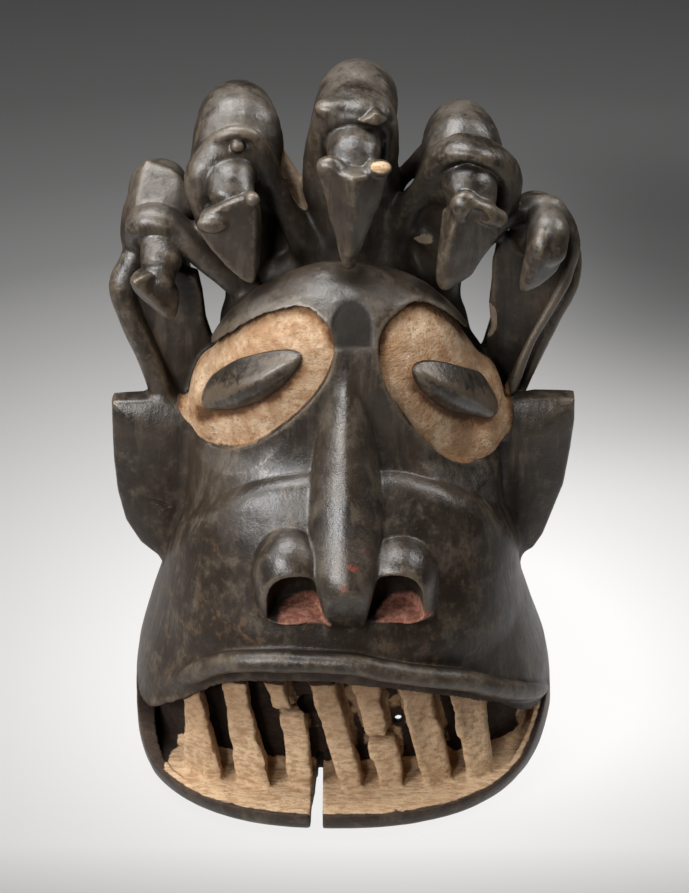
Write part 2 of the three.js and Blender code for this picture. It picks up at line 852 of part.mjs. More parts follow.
/** The five animals of the crown. */
function crownSolids() {
  return [
    ...crownLimbs.map(({ points, radii, side, stations, sides }) => limb(points, radii, side, stations, sides)),
    ...crownWedges.map((corners) => toSolid(new ConvexGeometry(corners.map((p) => new THREE.Vector3(...p))))),
    ...crownLumps.map(([middle, radii]) => lump(middle, radii, [0, 0, 0], 6, 5)),
    ...crownWebs.map(({ outline, front, back }) => frontPrism(outline, front, back)),
  ];
}

/** The whole mask as one solid. */
function maskSolid() {
  const head = headSolid(0);
  const ovals = wasm.Manifold.union(eyes.map(eyeOval));
  const templeSolids = temples.map(({ middle, radii }) => (
    lump(middle, radii.map((radius) => radius - ringDepth), [0, 0, 0], 10, 6)
  ));
  const bed = headSolid(ringDepth).add(wasm.Manifold.union(templeSolids));
  const recess = ovals.subtract(bed);
  const nicheShape = [];
  for (let i = 0; i <= 8; i += 1) {
    const angle = (Math.PI * i) / 8;
    nicheShape.push([niche.x + niche.half * Math.cos(angle), niche.top - niche.half + niche.half * Math.sin(angle)]);
  }
  nicheShape.push([niche.x - niche.half, niche.bottom], [niche.x + niche.half, niche.bottom]);
  const nicheCut = frontPrism(nicheShape, -140, 0).subtract(headSolid(niche.depth));
  const face = head.add(cheekFill()).subtract(recess).subtract(nicheCut).add(bed.intersect(ovals));
  const ears = earOutlines.map((outline) => frontPrism(outline, earFront, earBack, 5));
  const hoods = nostrils.map(nostrilSolid);
  const outer = wasm.Manifold.union([
    face,
    muzzleSolid(),
    ...ears,
    ...eyes.map(eyeball),
    ...crownSolids(),
    ...hoods.map(({ hood }) => hood),
    noseSolid(),
    limb(lipRidge, lipRidge.map(() => [lipRadius, lipRadius]), [0, 0, 1], 12, 6),
  ]);
  const opened = outer
    .subtract(mouthSpace())
    .subtract(wasm.Manifold.union(hoods.map(({ hollow }) => hollow)));
  const withJaw = wasm.Manifold.union([
    opened,
    jawSolid(),
    cheekSolid(),
    ...[-1, 1].map((side) => limb(rimPath.map(([x, y, z]) => [x * side, y, z]), [[7, 8], [6, 8], [4, 5]], [1, 0, 0], 4, 6)),
    ...teeth.flatMap(toothSolids),
  ]);
  const hollowed = withJaw.subtract(headSolid(wall, 20));
  return hollowed.subtract(planPrism(crackOutline, -5, crackTop));
}

const wood = new THREE.MeshStandardMaterial({ color: 0x2e2521, roughness: 0.45 });
wood.name = 'wood';

const shells = maskSolid().simplify(smallest).decompose();
// Gaps closed in between the limbs count as wood, so only the outer shell is kept
const solid = shells.reduce((best, shell) => (shell.volume() > best.volume() ? shell : best));
const carved = solid.getMesh();
const geometry = new THREE.BufferGeometry();
geometry.setAttribute('position', new THREE.Float32BufferAttribute(Array.from(carved.vertProperties), 3));
geometry.setIndex(Array.from(carved.triVerts));
geometry.computeVertexNormals();

const mask = new THREE.Mesh(geometry, wood);
mask.name = 'helmet_mask';
mask.position.set(0, depthShift, 0);

const group = new THREE.Group();
group.name = 'helmet_mask_part';
group.add(mask);

export default group;
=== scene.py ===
"""Carved wooden helmet mask with an openwork crown of crouching animals, standing on its neck rim.

The carving is worked out as one distance field in millimetres, with the same named sizes as the solid,
then turned into a single mesh. +Z is up and the face looks along -Y.
"""
import math

import bmesh
import bpy
import numpy as np
import openvdb
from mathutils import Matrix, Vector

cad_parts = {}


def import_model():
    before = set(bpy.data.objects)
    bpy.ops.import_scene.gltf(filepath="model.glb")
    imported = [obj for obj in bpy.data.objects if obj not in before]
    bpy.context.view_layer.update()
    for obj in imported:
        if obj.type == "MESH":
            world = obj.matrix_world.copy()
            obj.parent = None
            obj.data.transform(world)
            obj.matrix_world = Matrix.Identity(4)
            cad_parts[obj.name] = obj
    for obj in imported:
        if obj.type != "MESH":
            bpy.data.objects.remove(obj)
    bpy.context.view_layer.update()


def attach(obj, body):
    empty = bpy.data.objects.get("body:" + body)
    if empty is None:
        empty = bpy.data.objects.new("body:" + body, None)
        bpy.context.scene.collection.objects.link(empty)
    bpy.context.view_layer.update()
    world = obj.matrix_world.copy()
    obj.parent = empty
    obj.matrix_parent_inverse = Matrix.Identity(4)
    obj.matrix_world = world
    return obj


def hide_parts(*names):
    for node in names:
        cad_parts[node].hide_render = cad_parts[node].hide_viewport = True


# How far the carving is set back in the frame, then the field's step and box, and the triangles of the mesh
DEPTH_SHIFT = 16.0
STEP = 1.6
LOW = (-182.0, -198.0, -10.0)
HIGH = (182.0, 168.0, 534.0)
TRIANGLES = 192000

# Helmet: height, half width, front and back of each level
HEAD_LEVELS = [
    (0, 118, -112, 142), (40, 124, -126, 150), (90, 128, -128, 154), (140, 125, -118, 156),
    (200, 120, -102, 156), (250, 120, -97, 152), (290, 121, -98, 144), (325, 115, -99, 128),
    (355, 99, -95, 104), (380, 78, -82, 76), (396, 50, -58, 46), (403, 20, -25, 18),
]
HEAD_POWER = 2.3
HEAD_TOP = 404.0
HEAD_MIDDLE = 15.0
WALL = 20.0
# Roof of the helmet, which falls away behind the forehead: depth, half width and rise of each arch
ROOF_LEVELS = [
    (-220, 230, 420), (-62, 153, 232), (-40, 138, 206), (-20, 133, 186), (0, 131, 170), (30, 129, 150),
    (60, 127, 124), (100, 129, 86), (130, 131, 48), (160, 132, 12),
]
ROOF_BASE = 200.0
# Temples outside the eyes: middle and radii
TEMPLES = [((-99, -25, 271), (19, 34, 47)), ((103, -25, 262), (20, 34, 52))]
# Muzzle and jaw: height, half width, front, shift to the viewer's left and section power
MUZZLE_LEVELS = [
    (4, 153, -184, 0, 2.42), (12, 156, -187.5, 0, 2.42), (22, 158, -188, 0, 2.42), (50, 158, -182, 1, 2.4),
    (70, 155, -175, 1.5, 2.4), (87, 150, -169, 2.5, 2.4), (105, 144, -164, 3, 2.4),
    (123, 138, -163, 3, 2.4), (142, 134, -166, 2, 2.4), (154, 132, -164, 1.5, 2.4), (165, 131, -160, 1, 2.4),
    (190, 128, -152, 0, 2.4), (216, 124, -142, 0, 2.4), (240, 119, -130, 0, 2.4),
    (258, 114, -118, 0, 2.4), (275, 108, -102, 0, 2.4), (310, 94, -78, 0, 2.4), (340, 80, -60, 0, 2.4),
]
MUZZLE_MIDDLE = -28.0
JAW_SLEW = 5.5
MUZZLE_BACK = 82.0
CREASE = 10.0
CHEEK_TOP = 330.0
MUZZLE_ARC = [
    (-170, 70), (-150, 120), (-133, 164), (-120, 194), (-104, 220), (-86, 238), (-68, 251), (-46, 259),
    (-25, 263), (0, 264), (40, 263), (68, 252), (98, 229), (117, 200), (134, 162), (150, 120), (170, 70),
]
# Mouth: lower edge of the upper lip, the shelf of the jaw and the wall behind the teeth
LIP_EDGE = [
    (-170, 52), (-150, 56), (-135, 71), (-117, 87), (-94, 105), (-72, 115), (-40, 120), (-10, 120),
    (40, 112), (77, 100), (114, 80), (140, 54), (170, 38),
]
SHELF = 20.0
JAW_BOTTOM = 4.0
RECESS_HALF = 142.0
RECESS_FRONT = -128.0
RECESS_MIDDLE = -58.0
RIM_WIDTH = 8.0
LIP_RIDGE = [
    (-152, -60, 52), (-138, -98, 73), (-117, -125, 99), (-90, -149, 128), (-60, -164, 140), (0, -172, 143),
    (30, -171, 136), (58, -163, 126), (90, -148, 112), (122, -124, 88), (144, -92, 66), (153, -60, 48),
]
# Teeth: depth of the foot, then low height with left and right, and high height with left and right
TEETH = [
    (-139, [(20, -119, -91, 82, -117, -104)]),
    (-149, [(20, -79, -56, 97, -88, -72)]),
    (-153, [(20, -40, -24, 79, -46, -29), (87, -52, -39, 106, -58, -44)]),
    (-154, [(20, -1, 14, 107, -25, -8)]),
    (-151, [(20, 28, 43, 54, 18, 38), (61, 16, 31, 102, 6, 25)]),
    (-147, [(20, 61, 79, 95, 41, 63)]),
    (-139, [(20, 93, 109, 88, 78, 103)]),
]
TOOTH_DEPTH = 20.0
TOOTH_TURN = 0.6
# Nose: height, half width and front of each level, its top and section power, and the cut face under its tip
NOSE_LEVELS = [
    (152, 12, -166), (168, 14, -174), (182, 17, -179), (198, 21, -181), (212, 24, -176), (230, 26, -161),
    (250, 26, -145), (275, 23, -129), (300, 18, -116), (322, 12, -105), (338, 4, -97),
]
NOSE_TOP = 340.0
NOSE_POWER = 1.65
NOSE_TIP = (-181.0, 211.0)
NOSE_FOOT = (-160.0, 163.0)
# Nostrils: middle of the hood, middle of the opening and top of the hood
NOSTRILS = [(-38.0, -35.0, 233.0), (39.0, 36.0, 227.0)]
NOSTRIL_HALF = 20.0
NOSTRIL_FLOOR = 172.0
# Hoods: heights of their bottom and of their widest place, and the depth of their middle
HOOD_BOTTOM = 169.0
HOOD_SWELL = 196.0
HOOD_MIDDLE = -136.0
# Eyes: recessed oval and almond ball, each with middle, half sizes and slant in degrees, then the lid's side
EYES = [
    ((-65, 319), (74, 33), 47, (-66, 318), (47, 18, 12), 40, 1),
    ((74, 311), (74, 32), 122, (79.5, 308), (42.5, 16, 13), 136, -1),
]
RING_POWER = 2.3
RING_DEPTH = 6.0
EYE_RISE = 12.0
EYE_RIDGE = 0.45
# Niche in the forehead: middle, half width, bottom and top
NICHE = (5.0, 14.0, 357.0, 385.0)
NICHE_DEPTH = 1.2
# The eyes and the niche are cut only in front of this depth
FACE_BACK = -10.0
EAR_LEFT = [
    (-104, 276), (-140, 281), (-172, 279), (-172, 264), (-172, 225), (-170, 200), (-165, 176), (-154, 156),
    (-139, 142), (-125, 140), (-104, 158),
]
EAR_RIGHT = [
    (104, 276), (140, 282), (170, 281), (170, 262), (168, 238), (164, 206), (157, 184), (150, 163),
    (143, 151), (131, 143), (120, 144), (104, 160),
]
EAR_MIDDLE = -21.0
EAR_CRACK = [(-171, 207), (-152, 202), (-130, 193)]
# Breaks that show bare wood: middle and radii
RAW_SPOTS = [
    ((26, -68, 485), (8, 7, 4)), ((-34, 12, 438), (26, 13, 40)), ((104, -8, 334), (8, 10, 14)),
    ((59, -4, 400), (9, 6, 5)), ((-50, 16, 372), (8, 9, 14)),
]
# Painted pool of light on the floor: the brightness it glows with at distances from the mask, in metres
FLOOR_LIGHT_POOL = [
    (0.0, 0.88), (0.2, 0.86), (0.3, 0.72), (0.38, 0.62), (0.49, 0.48), (0.62, 0.32), (0.77, 0.17),
    (0.95, 0.10), (1.15, 0.06), (1.45, 0.035), (2.0, 0.03),
]
FLOOR_HALF = 9.0
# Soft lights: place, aim, size and power
LIGHTS = {
    "top": ((-0.5, 0.1, 2.15), (0.0, 0.0, 0.35), (1.0, 1.5), 46.0),
    "key": ((-1.38, -1.29, 1.35), (0.0, 0.0, 0.25), (0.7, 1.0), 38.0),
    "small": ((-0.64, -1.97, 1.26), (0.0, 0.0, 0.25), (0.25, 0.5), 13.0),
    "left": ((-1.87, 0.0, 1.42), (0.0, 0.0, 0.3), (0.5, 1.2), 9.5),
    "right": ((1.42, 0.15, 1.75), (0.0, 0.0, 0.3), (0.6, 0.8), 17.0),
}
# Camera: tilt in degrees, the point it looks at, distance and lens
CAMERA_TILT = 30.0
CAMERA_AIM = (0.0, -0.060 + DEPTH_SHIFT / 1000.0, 0.258)
CAMERA_REACH = 2.4
CAMERA_LENS = 133.0
# Crack through the jaw: depth and left side, then its right side and top
CRACK = [(-230, -27.5), (-160, -24.5), (-108, -19.5)]
CRACK_RIGHT = -16.0
CRACK_TOP = 34.0
# Small round hole between two teeth, and the round hollow in the wall behind them: middle and radii
BORE = (40.0, 3.0)
KNOT = ((-26, -126, 77), (9, 16, 8))
# Above this height the tool marks grow deeper, towards the crown
TOOLED = 330.0
# Distance given to places far from the wood
FAR = 60.0

ACROSS = (1.0, 0.0, 0.0)
ALONG = (0.0, 1.0, 0.0)
# Limbs of the crown: points, radii across and through, the direction that counts as across, and the blend
CROWN_LIMBS = [
    ([(-76, 8, 330), (-45, 8, 362), (0, 8, 378), (45, 8, 362), (74, 8, 330)],
     [(14, 15), (15, 16), (16, 16), (15, 16), (14, 15)], ALONG, 14),
    ([(3, 14, 338), (4, 12, 420), (6, 10, 477), (9, 28, 494), (10, 62, 474), (6, 80, 400), (4, 84, 285)],
     [(34, 24), (33, 24), (31, 25), (29, 27), (26, 24), (23, 19), (24, 20)], ACROSS, 8),
    ([(-20, 2, 436), (-18, -4, 466), (-15, -12, 487), (-7, -17, 500), (10, -19, 503), (24, -15, 500),
      (29, -8, 486), (29, -4, 466), (29, 2, 436)],
     [(10, 9), (12, 9), (13, 10), (13, 11), (12, 11), (12, 11), (11, 9), (10, 8), (10, 9)], ALONG, 12),
    ([(5, 0, 500), (6, -6, 501), (7, -9, 500)],
     [(25, 17), (25, 17), (24, 15)], ACROSS, 8),
    ([(6, -12, 483), (7, -34, 482), (7, -48, 477)],
     [(20, 18), (20, 17), (17, 12)], ACROSS, 1.5),
    ([(72, 0, 396), (60, -3, 398), (54, -4, 402)],
     [(6, 5), (5, 4), (3, 3)], ACROSS, 1.5),
    ([(-68, 14, 318), (-73, 12, 400), (-76, 8, 464), (-77, 28, 480), (-76, 58, 456), (-72, 78, 380),
      (-70, 82, 262)],
     [(15, 18), (22, 20), (33, 26), (27, 27), (23, 22), (17, 17), (18, 18)], ACROSS, 8),
    ([(-92, -20, 420), (-98, -22, 438), (-100, -22, 456), (-92, -20, 471), (-76, -18, 477),
      (-61, -16, 468), (-50, -10, 442), (-39, -2, 414), (-18, 6, 372)],
     [(13, 12), (15, 13), (15, 13), (13, 12), (11, 12), (9, 10), (9, 9), (10, 10), (18, 13)], ALONG, 8),
    ([(-97, -19, 476), (-88, -23, 487), (-76, -25, 492), (-65, -24, 489), (-57, -19, 476),
      (-51, -12, 456)],
     [(5, 5), (5, 5), (5, 5), (5, 5), (5, 5), (5, 5)], ALONG, 4),
    ([(-80, 0, 458), (-80, -6, 457), (-80, -8, 456)],
     [(29, 20), (29, 20), (28, 18)], ACROSS, 8),
    ([(-80, -12, 460), (-80, -30, 458), (-80, -42, 453)],
     [(19, 17), (18, 16), (16, 12)], ACROSS, 1.5),
    ([(-126, -2, 262), (-134, 0, 330), (-138, 4, 378), (-136, 20, 416), (-134, 36, 420), (-134, 54, 370),
      (-110, 58, 236)],
     [(16, 12), (20, 12), (20, 16), (22, 20), (21, 19), (16, 16), (16, 18)], ACROSS, 8),
    ([(-147, -8, 402), (-144, -17, 417), (-130, -20, 420), (-110, -20, 404), (-88, -18, 383),
      (-66, -18, 358)],
     [(11, 11), (13, 12), (14, 12), (14, 12), (12, 12), (9, 9)], ALONG, 8),
    ([(-152, -8, 384), (-161, -12, 364), (-155, -14, 340), (-143, -16, 308), (-130, -18, 268)],
     [(9, 10), (11, 10), (10, 9), (9, 9), (11, 10)], ALONG, 5),
    ([(-132, -22, 408), (-131, -35, 397)],
     [(15, 13), (15, 13)], ACROSS, 1),
    ([(-131, -34, 396), (-132, -46, 386)],
     [(12, 11), (11, 10)], ACROSS, 1),
    ([(66, 14, 318), (70, 12, 395), (83, 8, 450), (84, 28, 464), (78, 58, 442), (68, 78, 370),
      (66, 82, 262)],
     [(15, 18), (22, 20), (30, 26), (25, 27), (22, 22), (17, 17), (18, 18)], ACROSS, 8),
    ([(108, -12, 420), (115, -16, 440), (113, -19, 458), (104, -25, 473), (91, -29, 481), (78, -27, 480),
      (66, -21, 465), (56, -15, 444), (45, -11, 427), (37, 2, 396), (33, 6, 362)],
     [(9, 9), (10, 11), (12, 12), (15, 10), (16, 9), (14, 10), (11, 10), (9, 9), (8, 8), (11, 10),
      (17, 14)], ALONG, 13),
    ([(64, 10, 470), (54, 8, 458), (45, 10, 446), (38, 10, 434), (35, 8, 420), (34, 8, 400)],
     [(6, 6), (5, 6), (5, 6), (5, 6), (6, 7), (8, 8)], ALONG, 3),
    ([(82, 0, 452), (83, -8, 452), (84, -12, 450)],
     [(27, 22), (27, 22), (26, 20)], ACROSS, 8),
    ([(87, -14, 458), (88, -32, 456), (90, -42, 446)],
     [(20, 19), (20, 18), (17, 13)], ACROSS, 1.5),
    ([(92, -56, 447), (100, -54, 443), (108, -50, 437)],
     [(8, 8), (8, 8), (7, 7)], ACROSS, 3),
    ([(100, -4, 400), (112, -8, 416), (126, -10, 424), (138, -10, 428), (148, -10, 427), (157, -10, 416),
      (163, -12, 402), (164, -13, 390), (160, -14, 371), (148, -16, 346), (135, -18, 320),
      (122, -20, 284)],
     [(10, 9), (9, 9), (8, 8), (8, 8), (8, 8), (8, 7), (7, 6), (5, 5), (4, 4), (3.5, 3.5), (3.5, 3.5),
      (5, 5)], ALONG, 2.5),
    ([(160, -2, 400), (167, 2, 384), (166, 0, 360), (155, -2, 336), (144, -4, 311), (132, -6, 282),
      (122, -8, 262)],
     [(5, 5), (4, 5), (4, 5), (4, 5), (4, 5), (4, 5), (6, 6)], ALONG, 2.5),
    ([(136, -2, 402), (138, 24, 406), (136, 52, 360), (110, 58, 236)],
     [(17, 16), (18, 16), (14, 16), (16, 18)], ACROSS, 8),
    ([(143, -14, 422), (145, -30, 418), (144, -38, 408)],
     [(13, 12), (15, 14), (15, 14)], ACROSS, 2),
]
# Cut faces of the heads and of the leftmost back: corners of each wedge and its blend
CROWN_WEDGES = [
    ([(-16, -62, 486), (-19, -64, 478), (-17, -64, 465), (-11, -62, 447), (-7, -60, 423), (-2, -60, 405),
      (3, -60, 402), (9, -59, 405), (15, -58, 422), (20, -58, 438), (25, -60, 452), (31, -62, 472),
      (31, -60, 480), (6, -78, 481), (6, -76, 455), (4, -69, 418), (-14, -44, 476), (28, -44, 474),
      (-10, -46, 444), (22, -46, 444), (0, -50, 403), (7, -50, 403)], 1.5),
    ([(-103, -58, 444), (-65, -62, 464), (-62, -64, 455), (-63, -56, 460), (-58, -50, 446),
      (-57, -50, 435), (-60, -48, 393), (-64, -52, 384), (-75, -54, 389), (-95, -58, 415),
      (-103, -60, 429), (-104, -60, 439), (-63, -56, 392), (-98, -34, 440), (-64, -32, 454),
      (-61, -34, 404), (-68, -44, 386), (-88, -38, 412)], 1.5),
    ([(-154, -53, 392), (-142, -57, 397), (-127, -50, 392), (-150, -63, 393), (-127, -60, 364),
      (-117, -49, 374), (-120, -50, 356), (-129, -51, 357), (-152, -53, 383), (-144, -51, 371),
      (-148, -36, 392), (-130, -32, 392), (-118, -36, 376), (-123, -42, 360), (-143, -38, 372)], 1.5),
    ([(68, -46, 442), (65, -50, 418), (63, -52, 391), (67, -52, 381), (72, -52, 379), (83, -50, 385),
      (91, -48, 389), (98, -46, 400), (110, -46, 421), (113, -46, 428), (82, -60, 456), (74, -64, 430),
      (73, -58, 389), (95, -58, 449), (82, -34, 445), (106, -32, 425), (104, -34, 410), (68, -40, 386),
      (82, -38, 388)], 1.5),
    ([(131, -46, 428), (127, -48, 416), (124, -48, 398), (117, -46, 377), (119, -46, 367),
      (124, -46, 365), (135, -44, 370), (149, -42, 379), (159, -34, 388), (160, -32, 406),
      (154, -36, 423), (144, -44, 434), (143, -60, 418), (136, -58, 395), (124, -50, 371),
      (150, -18, 425), (156, -18, 400), (134, -24, 425), (130, -26, 395), (148, -24, 385)], 2, 8),
    ([(-143, 14, 453), (-128, 12, 450), (-117, 6, 446), (-111, 0, 438), (-106, -8, 424), (-126, -20, 421),
      (-150, -18, 421), (-163, 0, 398), (-162, 4, 411), (-157, 10, 430), (-140, 36, 444), (-118, 32, 436),
      (-104, 30, 410), (-160, 32, 400), (-158, -8, 380), (-118, -10, 380), (-110, 30, 380),
      (-152, 30, 380)], 1.5),
    ([(22, -36, 513), (7, -33, 503), (34, -27, 502), (23, -37, 500), (22, -10, 513), (7, -12, 498),
      (35, -10, 500)], 1.0),
]
# Hollow in the second animal's shoulders, and the boss left standing in it: middle and radii
SHOULDER_HOLLOW = ((-74, -34, 484), (13, 9, 6))
SHOULDER_BOSS = ((-75, -28, 483), (5, 5, 5))
# Eye socket of the fourth animal: middle and radii
SOCKET = ((93, -63, 441), (8, 6, 10))
# Small lumps: middle, radii and blend
CROWN_LUMPS = [
    ((-10, -62, 484), (9, 7, 7), 5), ((23, -62, 482), (10, 8, 6), 3), ((-92, -60, 438), (12, 5, 7), 1.5),
    ((84, -57, 451), (10, 8, 11), 4), ((-64, -64, 459), (5, 5, 5), 2), ((-10, -20, 509), (11, 9, 7), 5),
]
# Flat webs of wood: outline in the front view, near and far depth
PANELS = [
    ([(-152, 388), (-106, 372), (-103, 356), (-101, 334), (-96, 316), (-104, 262), (-130, 262),
      (-143, 308), (-160, 350)], -12, 4),
    ([(105, 346), (107, 327), (103, 318), (100, 262), (121, 262), (125, 277), (131, 298), (149, 338),
      (161, 365), (161, 390), (155, 410), (119, 402), (112, 410), (107, 381)], -8, 3),
    ([(-56, 474), (-46, 464), (-28, 433), (-18, 406), (-4, 369), (-40, 352), (-50, 369), (-54, 384),
      (-50, 398), (-62, 410), (-64, 440)], 8, 22),
    ([(34, 404), (52, 424), (64, 430), (80, 400), (84, 372), (60, 350), (20, 360)], 4, 16),
]


def rounded_line(points, column, where, spread=5.0):
    """Value of a table column between its rows, with the corners rounded off."""
    places = [p[0] for p in points]
    values = [p[column] for p in points]
    total = 0.0
    weights = 0.0
    for offset in (-2.0, -1.0, 0.0, 1.0, 2.0):
        weight = math.exp(-0.5 * offset * offset)
        total = total + weight * np.interp(where + offset * spread, places, values)
        weights += weight
    return (total / weights).astype(np.float32)


def oval_value(x, y, half, front, back, middle, power):
    """Below nought inside an oval with its own front and back."""
    reach = np.where(y < middle, middle - front, back - middle)
    ratio = np.abs(x / half) ** power + np.abs((y - middle) / reach) ** power
    return (ratio ** (1.0 / power) - 1.0) * np.minimum(half, middle - front)


def true_distance(value):
    """Scales a field so that it changes by one per millimetre."""
    slopes = np.gradient(value, STEP)
    slope = np.sqrt(slopes[0] ** 2 + slopes[1] ** 2 + slopes[2] ** 2)
    return np.clip(value / np.maximum(slope, 0.3), -FAR, FAR).astype(np.float32)


def soft_min(a, b, radius):
    """Smaller of two fields, with a fillet of the given size."""
    if radius <= 0:
        return np.minimum(a, b)
    overlap = np.maximum(radius - np.abs(a - b), 0.0) / radius
    return np.minimum(a, b) - overlap * overlap * (radius * 0.25)


def soft_max(a, b, radius):
    """Larger of two fields, with a rounded edge of the given size."""
    return -soft_min(-a, -b, radius)


def shell_distance(u, v, w, a, b, c):
    """Distance to an ellipsoid with half sizes a, b and c, for places given as shares of them."""
    near = np.sqrt(u * u + v * v + w * w)
    slope = np.sqrt((u / a) ** 2 + (v / b) ** 2 + (w / c) ** 2)
    return near * (near - 1.0) / np.maximum(slope, 1e-5)


def ellipsoid(x, y, z, middle, radii):
    """Distance to an ellipsoid along the axes."""
    return shell_distance(*[(p - m) / r for p, m, r in zip((x, y, z), middle, radii)], *radii)


def line_distance(x, z, points):
    """Distance to an open line in the front view."""
    best = np.full(np.broadcast(x, z).shape, 1e9, np.float32)
    for (ax, az), (bx, bz) in zip(points, points[1:]):
        ex = bx - ax
        ez = bz - az
        along = np.clip(((x - ax) * ex + (z - az) * ez) / (ex * ex + ez * ez), 0.0, 1.0)
        best = np.minimum(best, (x - ax - along * ex) ** 2 + (z - az - along * ez) ** 2)
    return np.sqrt(best)


def outline_distance(x, z, outline):
    """Signed distance to a closed outline in the front view."""
    best = line_distance(x, z, outline + outline[:1])
    inside = np.zeros(best.shape, bool)
    for (ax, az), (bx, bz) in zip(outline, outline[1:] + outline[:1]):
        crosses = (az > z) != (bz > z)
        inside ^= crosses & (x < ax + (z - az) * (bx - ax) / ((bz - az) or 1e-6))
    return np.where(inside, -best, best)


def smooth_path(points, count):
    """Evenly numbered points on a smooth curve through the given ones."""
    points = np.array(points, float)
    padded = np.vstack([2 * points[0] - points[1], points, 2 * points[-1] - points[-2]])
    result = []
    for i in range(count + 1):
        place = i / count * (len(points) - 1)
        k = min(int(place), len(points) - 2)
        t = place - k
        a, b, c, d = padded[k:k + 4]
        result.append(0.5 * (2 * b + (c - a) * t + (2 * a - 5 * b + 4 * c - d) * t * t
                             + (3 * b - a - 3 * c + d) * t ** 3))
    return np.array(result)


def lattice_noise(axes, size, seed):
    """Smooth noise between -1 and 1 on a grid or along a list of places."""
    rng = np.random.default_rng(seed)
    corners = []
    for axis in axes:
        place = (axis - axis.min() + 3.0) / size
        base = np.floor(place).astype(int)
        part = (place - base).astype(np.float32)
        corners.append((base, part * part * (3 - 2 * part)))
    lattice = rng.uniform(-1, 1, [c[0].max() + 2 for c in corners]).astype(np.float32)
    for number, (base, part) in enumerate(corners):
        shape = [1, 1, 1]
        shape[number] = len(base)
        part = part.reshape(shape)
        low = np.take(lattice, base, axis=number)
        high = np.take(lattice, base + 1, axis=number)
        lattice = low + (high - low) * part
    return lattice


class Block:
    """The block of wood as a field of distances, negative inside."""

    def __init__(self):
        self.axes = [np.arange(a, b, STEP, dtype=np.float32) for a, b in zip(LOW, HIGH)]
        self.value = np.full([len(a) for a in self.axes], FAR, np.float32)

    def window(self, low, high):
        """Slices of a box and the coordinates in it."""
        slices = []
        for axis, a, b in zip(self.axes, low, high):
            slices.append(slice(int(np.searchsorted(axis, a)), max(int(np.searchsorted(axis, b)), 1)))
        x = self.axes[0][slices[0]][:, None, None]
        y = self.axes[1][slices[1]][None, :, None]
        z = self.axes[2][slices[2]][None, None, :]
        return tuple(slices), x, y, z

    def join(self, slices, shape, blend):
        """Joins a shape on in a window."""
        self.value[slices] = soft_min(self.value[slices], shape.astype(np.float32), blend)

    def cut(self, slices, shape, blend=0.0):
        """Cuts a shape away in a window."""
        self.value[slices] = soft_max(self.value[slices], -shape.astype(np.float32), blend)

    def join_ball(self, middle, radii, low, high, blend):
        """Joins an ellipsoid on inside a box."""
        slices, x, y, z = self.window(low, high)
        self.join(slices, ellipsoid(x, y, z, middle, radii), blend)

    def cut_ball(self, middle, radii, low, high, blend):
        """Cuts an ellipsoid away inside a box."""
        slices, x, y, z = self.window(low, high)
        self.cut(slices, ellipsoid(x, y, z, middle, radii), blend)

    def limb(self, points, radii, hint, blend):
        """Adds a rounded limb with its own width and thickness along a smooth path."""
        count = 5 * (len(points) - 1)
        path = smooth_path(points, count)
        sizes = smooth_path([(a, b, 0) for a, b in radii], count)[:, :2]
        tangents = np.gradient(path, axis=0)
        tangents /= np.linalg.norm(tangents, axis=1)[:, None]
        sides = np.array(hint) - (tangents @ np.array(hint))[:, None] * tangents
        sides /= np.linalg.norm(sides, axis=1)[:, None]
        ups = np.cross(tangents, sides)
        margin = sizes.max() + blend + 2 * STEP
        whole = self.window(path.min(0) - margin, path.max(0) + margin)[0]
        field = np.full(self.value[whole].shape, FAR, np.float32)
        for i in range(count):
            start = path[i]
            run = path[i + 1] - start
            low = np.minimum(start, path[i + 1]) - margin
            high = np.maximum(start, path[i + 1]) + margin
            slices, x, y, z = self.window(low, high)
            local = tuple(slice(a.start - b.start, a.stop - b.start) for a, b in zip(slices, whole))
            along = (x - start[0]) * run[0] + (y - start[1]) * run[1] + (z - start[2]) * run[2]
            along = np.clip(along / (run @ run), 0.0, 1.0).astype(np.float32)
            dx = x - start[0] - along * run[0]
            dy = y - start[1] - along * run[1]
            dz = z - start[2] - along * run[2]
            across = sizes[i, 0] + along * (sizes[i + 1, 0] - sizes[i, 0])
            through = sizes[i, 1] + along * (sizes[i + 1, 1] - sizes[i, 1])
            side = 0.5 * (sides[i] + sides[i + 1])
            up = 0.5 * (ups[i] + ups[i + 1])
            tip = 0.5 * (tangents[i] + tangents[i + 1])
            u = (dx * side[0] + dy * side[1] + dz * side[2]) / across
            v = (dx * up[0] + dy * up[1] + dz * up[2]) / through
            least = np.minimum(across, through)
            w = (dx * tip[0] + dy * tip[1] + dz * tip[2]) / least
            field[local] = np.minimum(field[local], shell_distance(u, v, w, across, through, least))
        self.join(whole, field, blend)

    def at(self, points):
        """Field between its grid places, at a list of points."""
        place = (points - np.array([a[0] for a in self.axes])) / STEP
        limit = np.array(self.value.shape) - 2
        base = np.clip(np.floor(place).astype(int), 0, limit)
        part = np.clip(place - base, 0.0, 1.0)
        total = 0.0
        for i in (0, 1):
            for j in (0, 1):
                for k in (0, 1):
                    weight = (part[:, 0] if i else 1 - part[:, 0]) * (part[:, 1] if j else 1 - part[:, 1])
                    weight = weight * (part[:, 2] if k else 1 - part[:, 2])
                    total = total + weight * self.value[base[:, 0] + i, base[:, 1] + j, base[:, 2] + k]
        return total


def head_value(x, y, z):
    """Below nought inside the helmet's rounded sections."""
    half = rounded_line(HEAD_LEVELS, 1, z)
    front = rounded_line(HEAD_LEVELS, 2, z)
    back = rounded_line(HEAD_LEVELS, 3, z)
    return oval_value(x, y, half, front, back, HEAD_MIDDLE, HEAD_POWER)


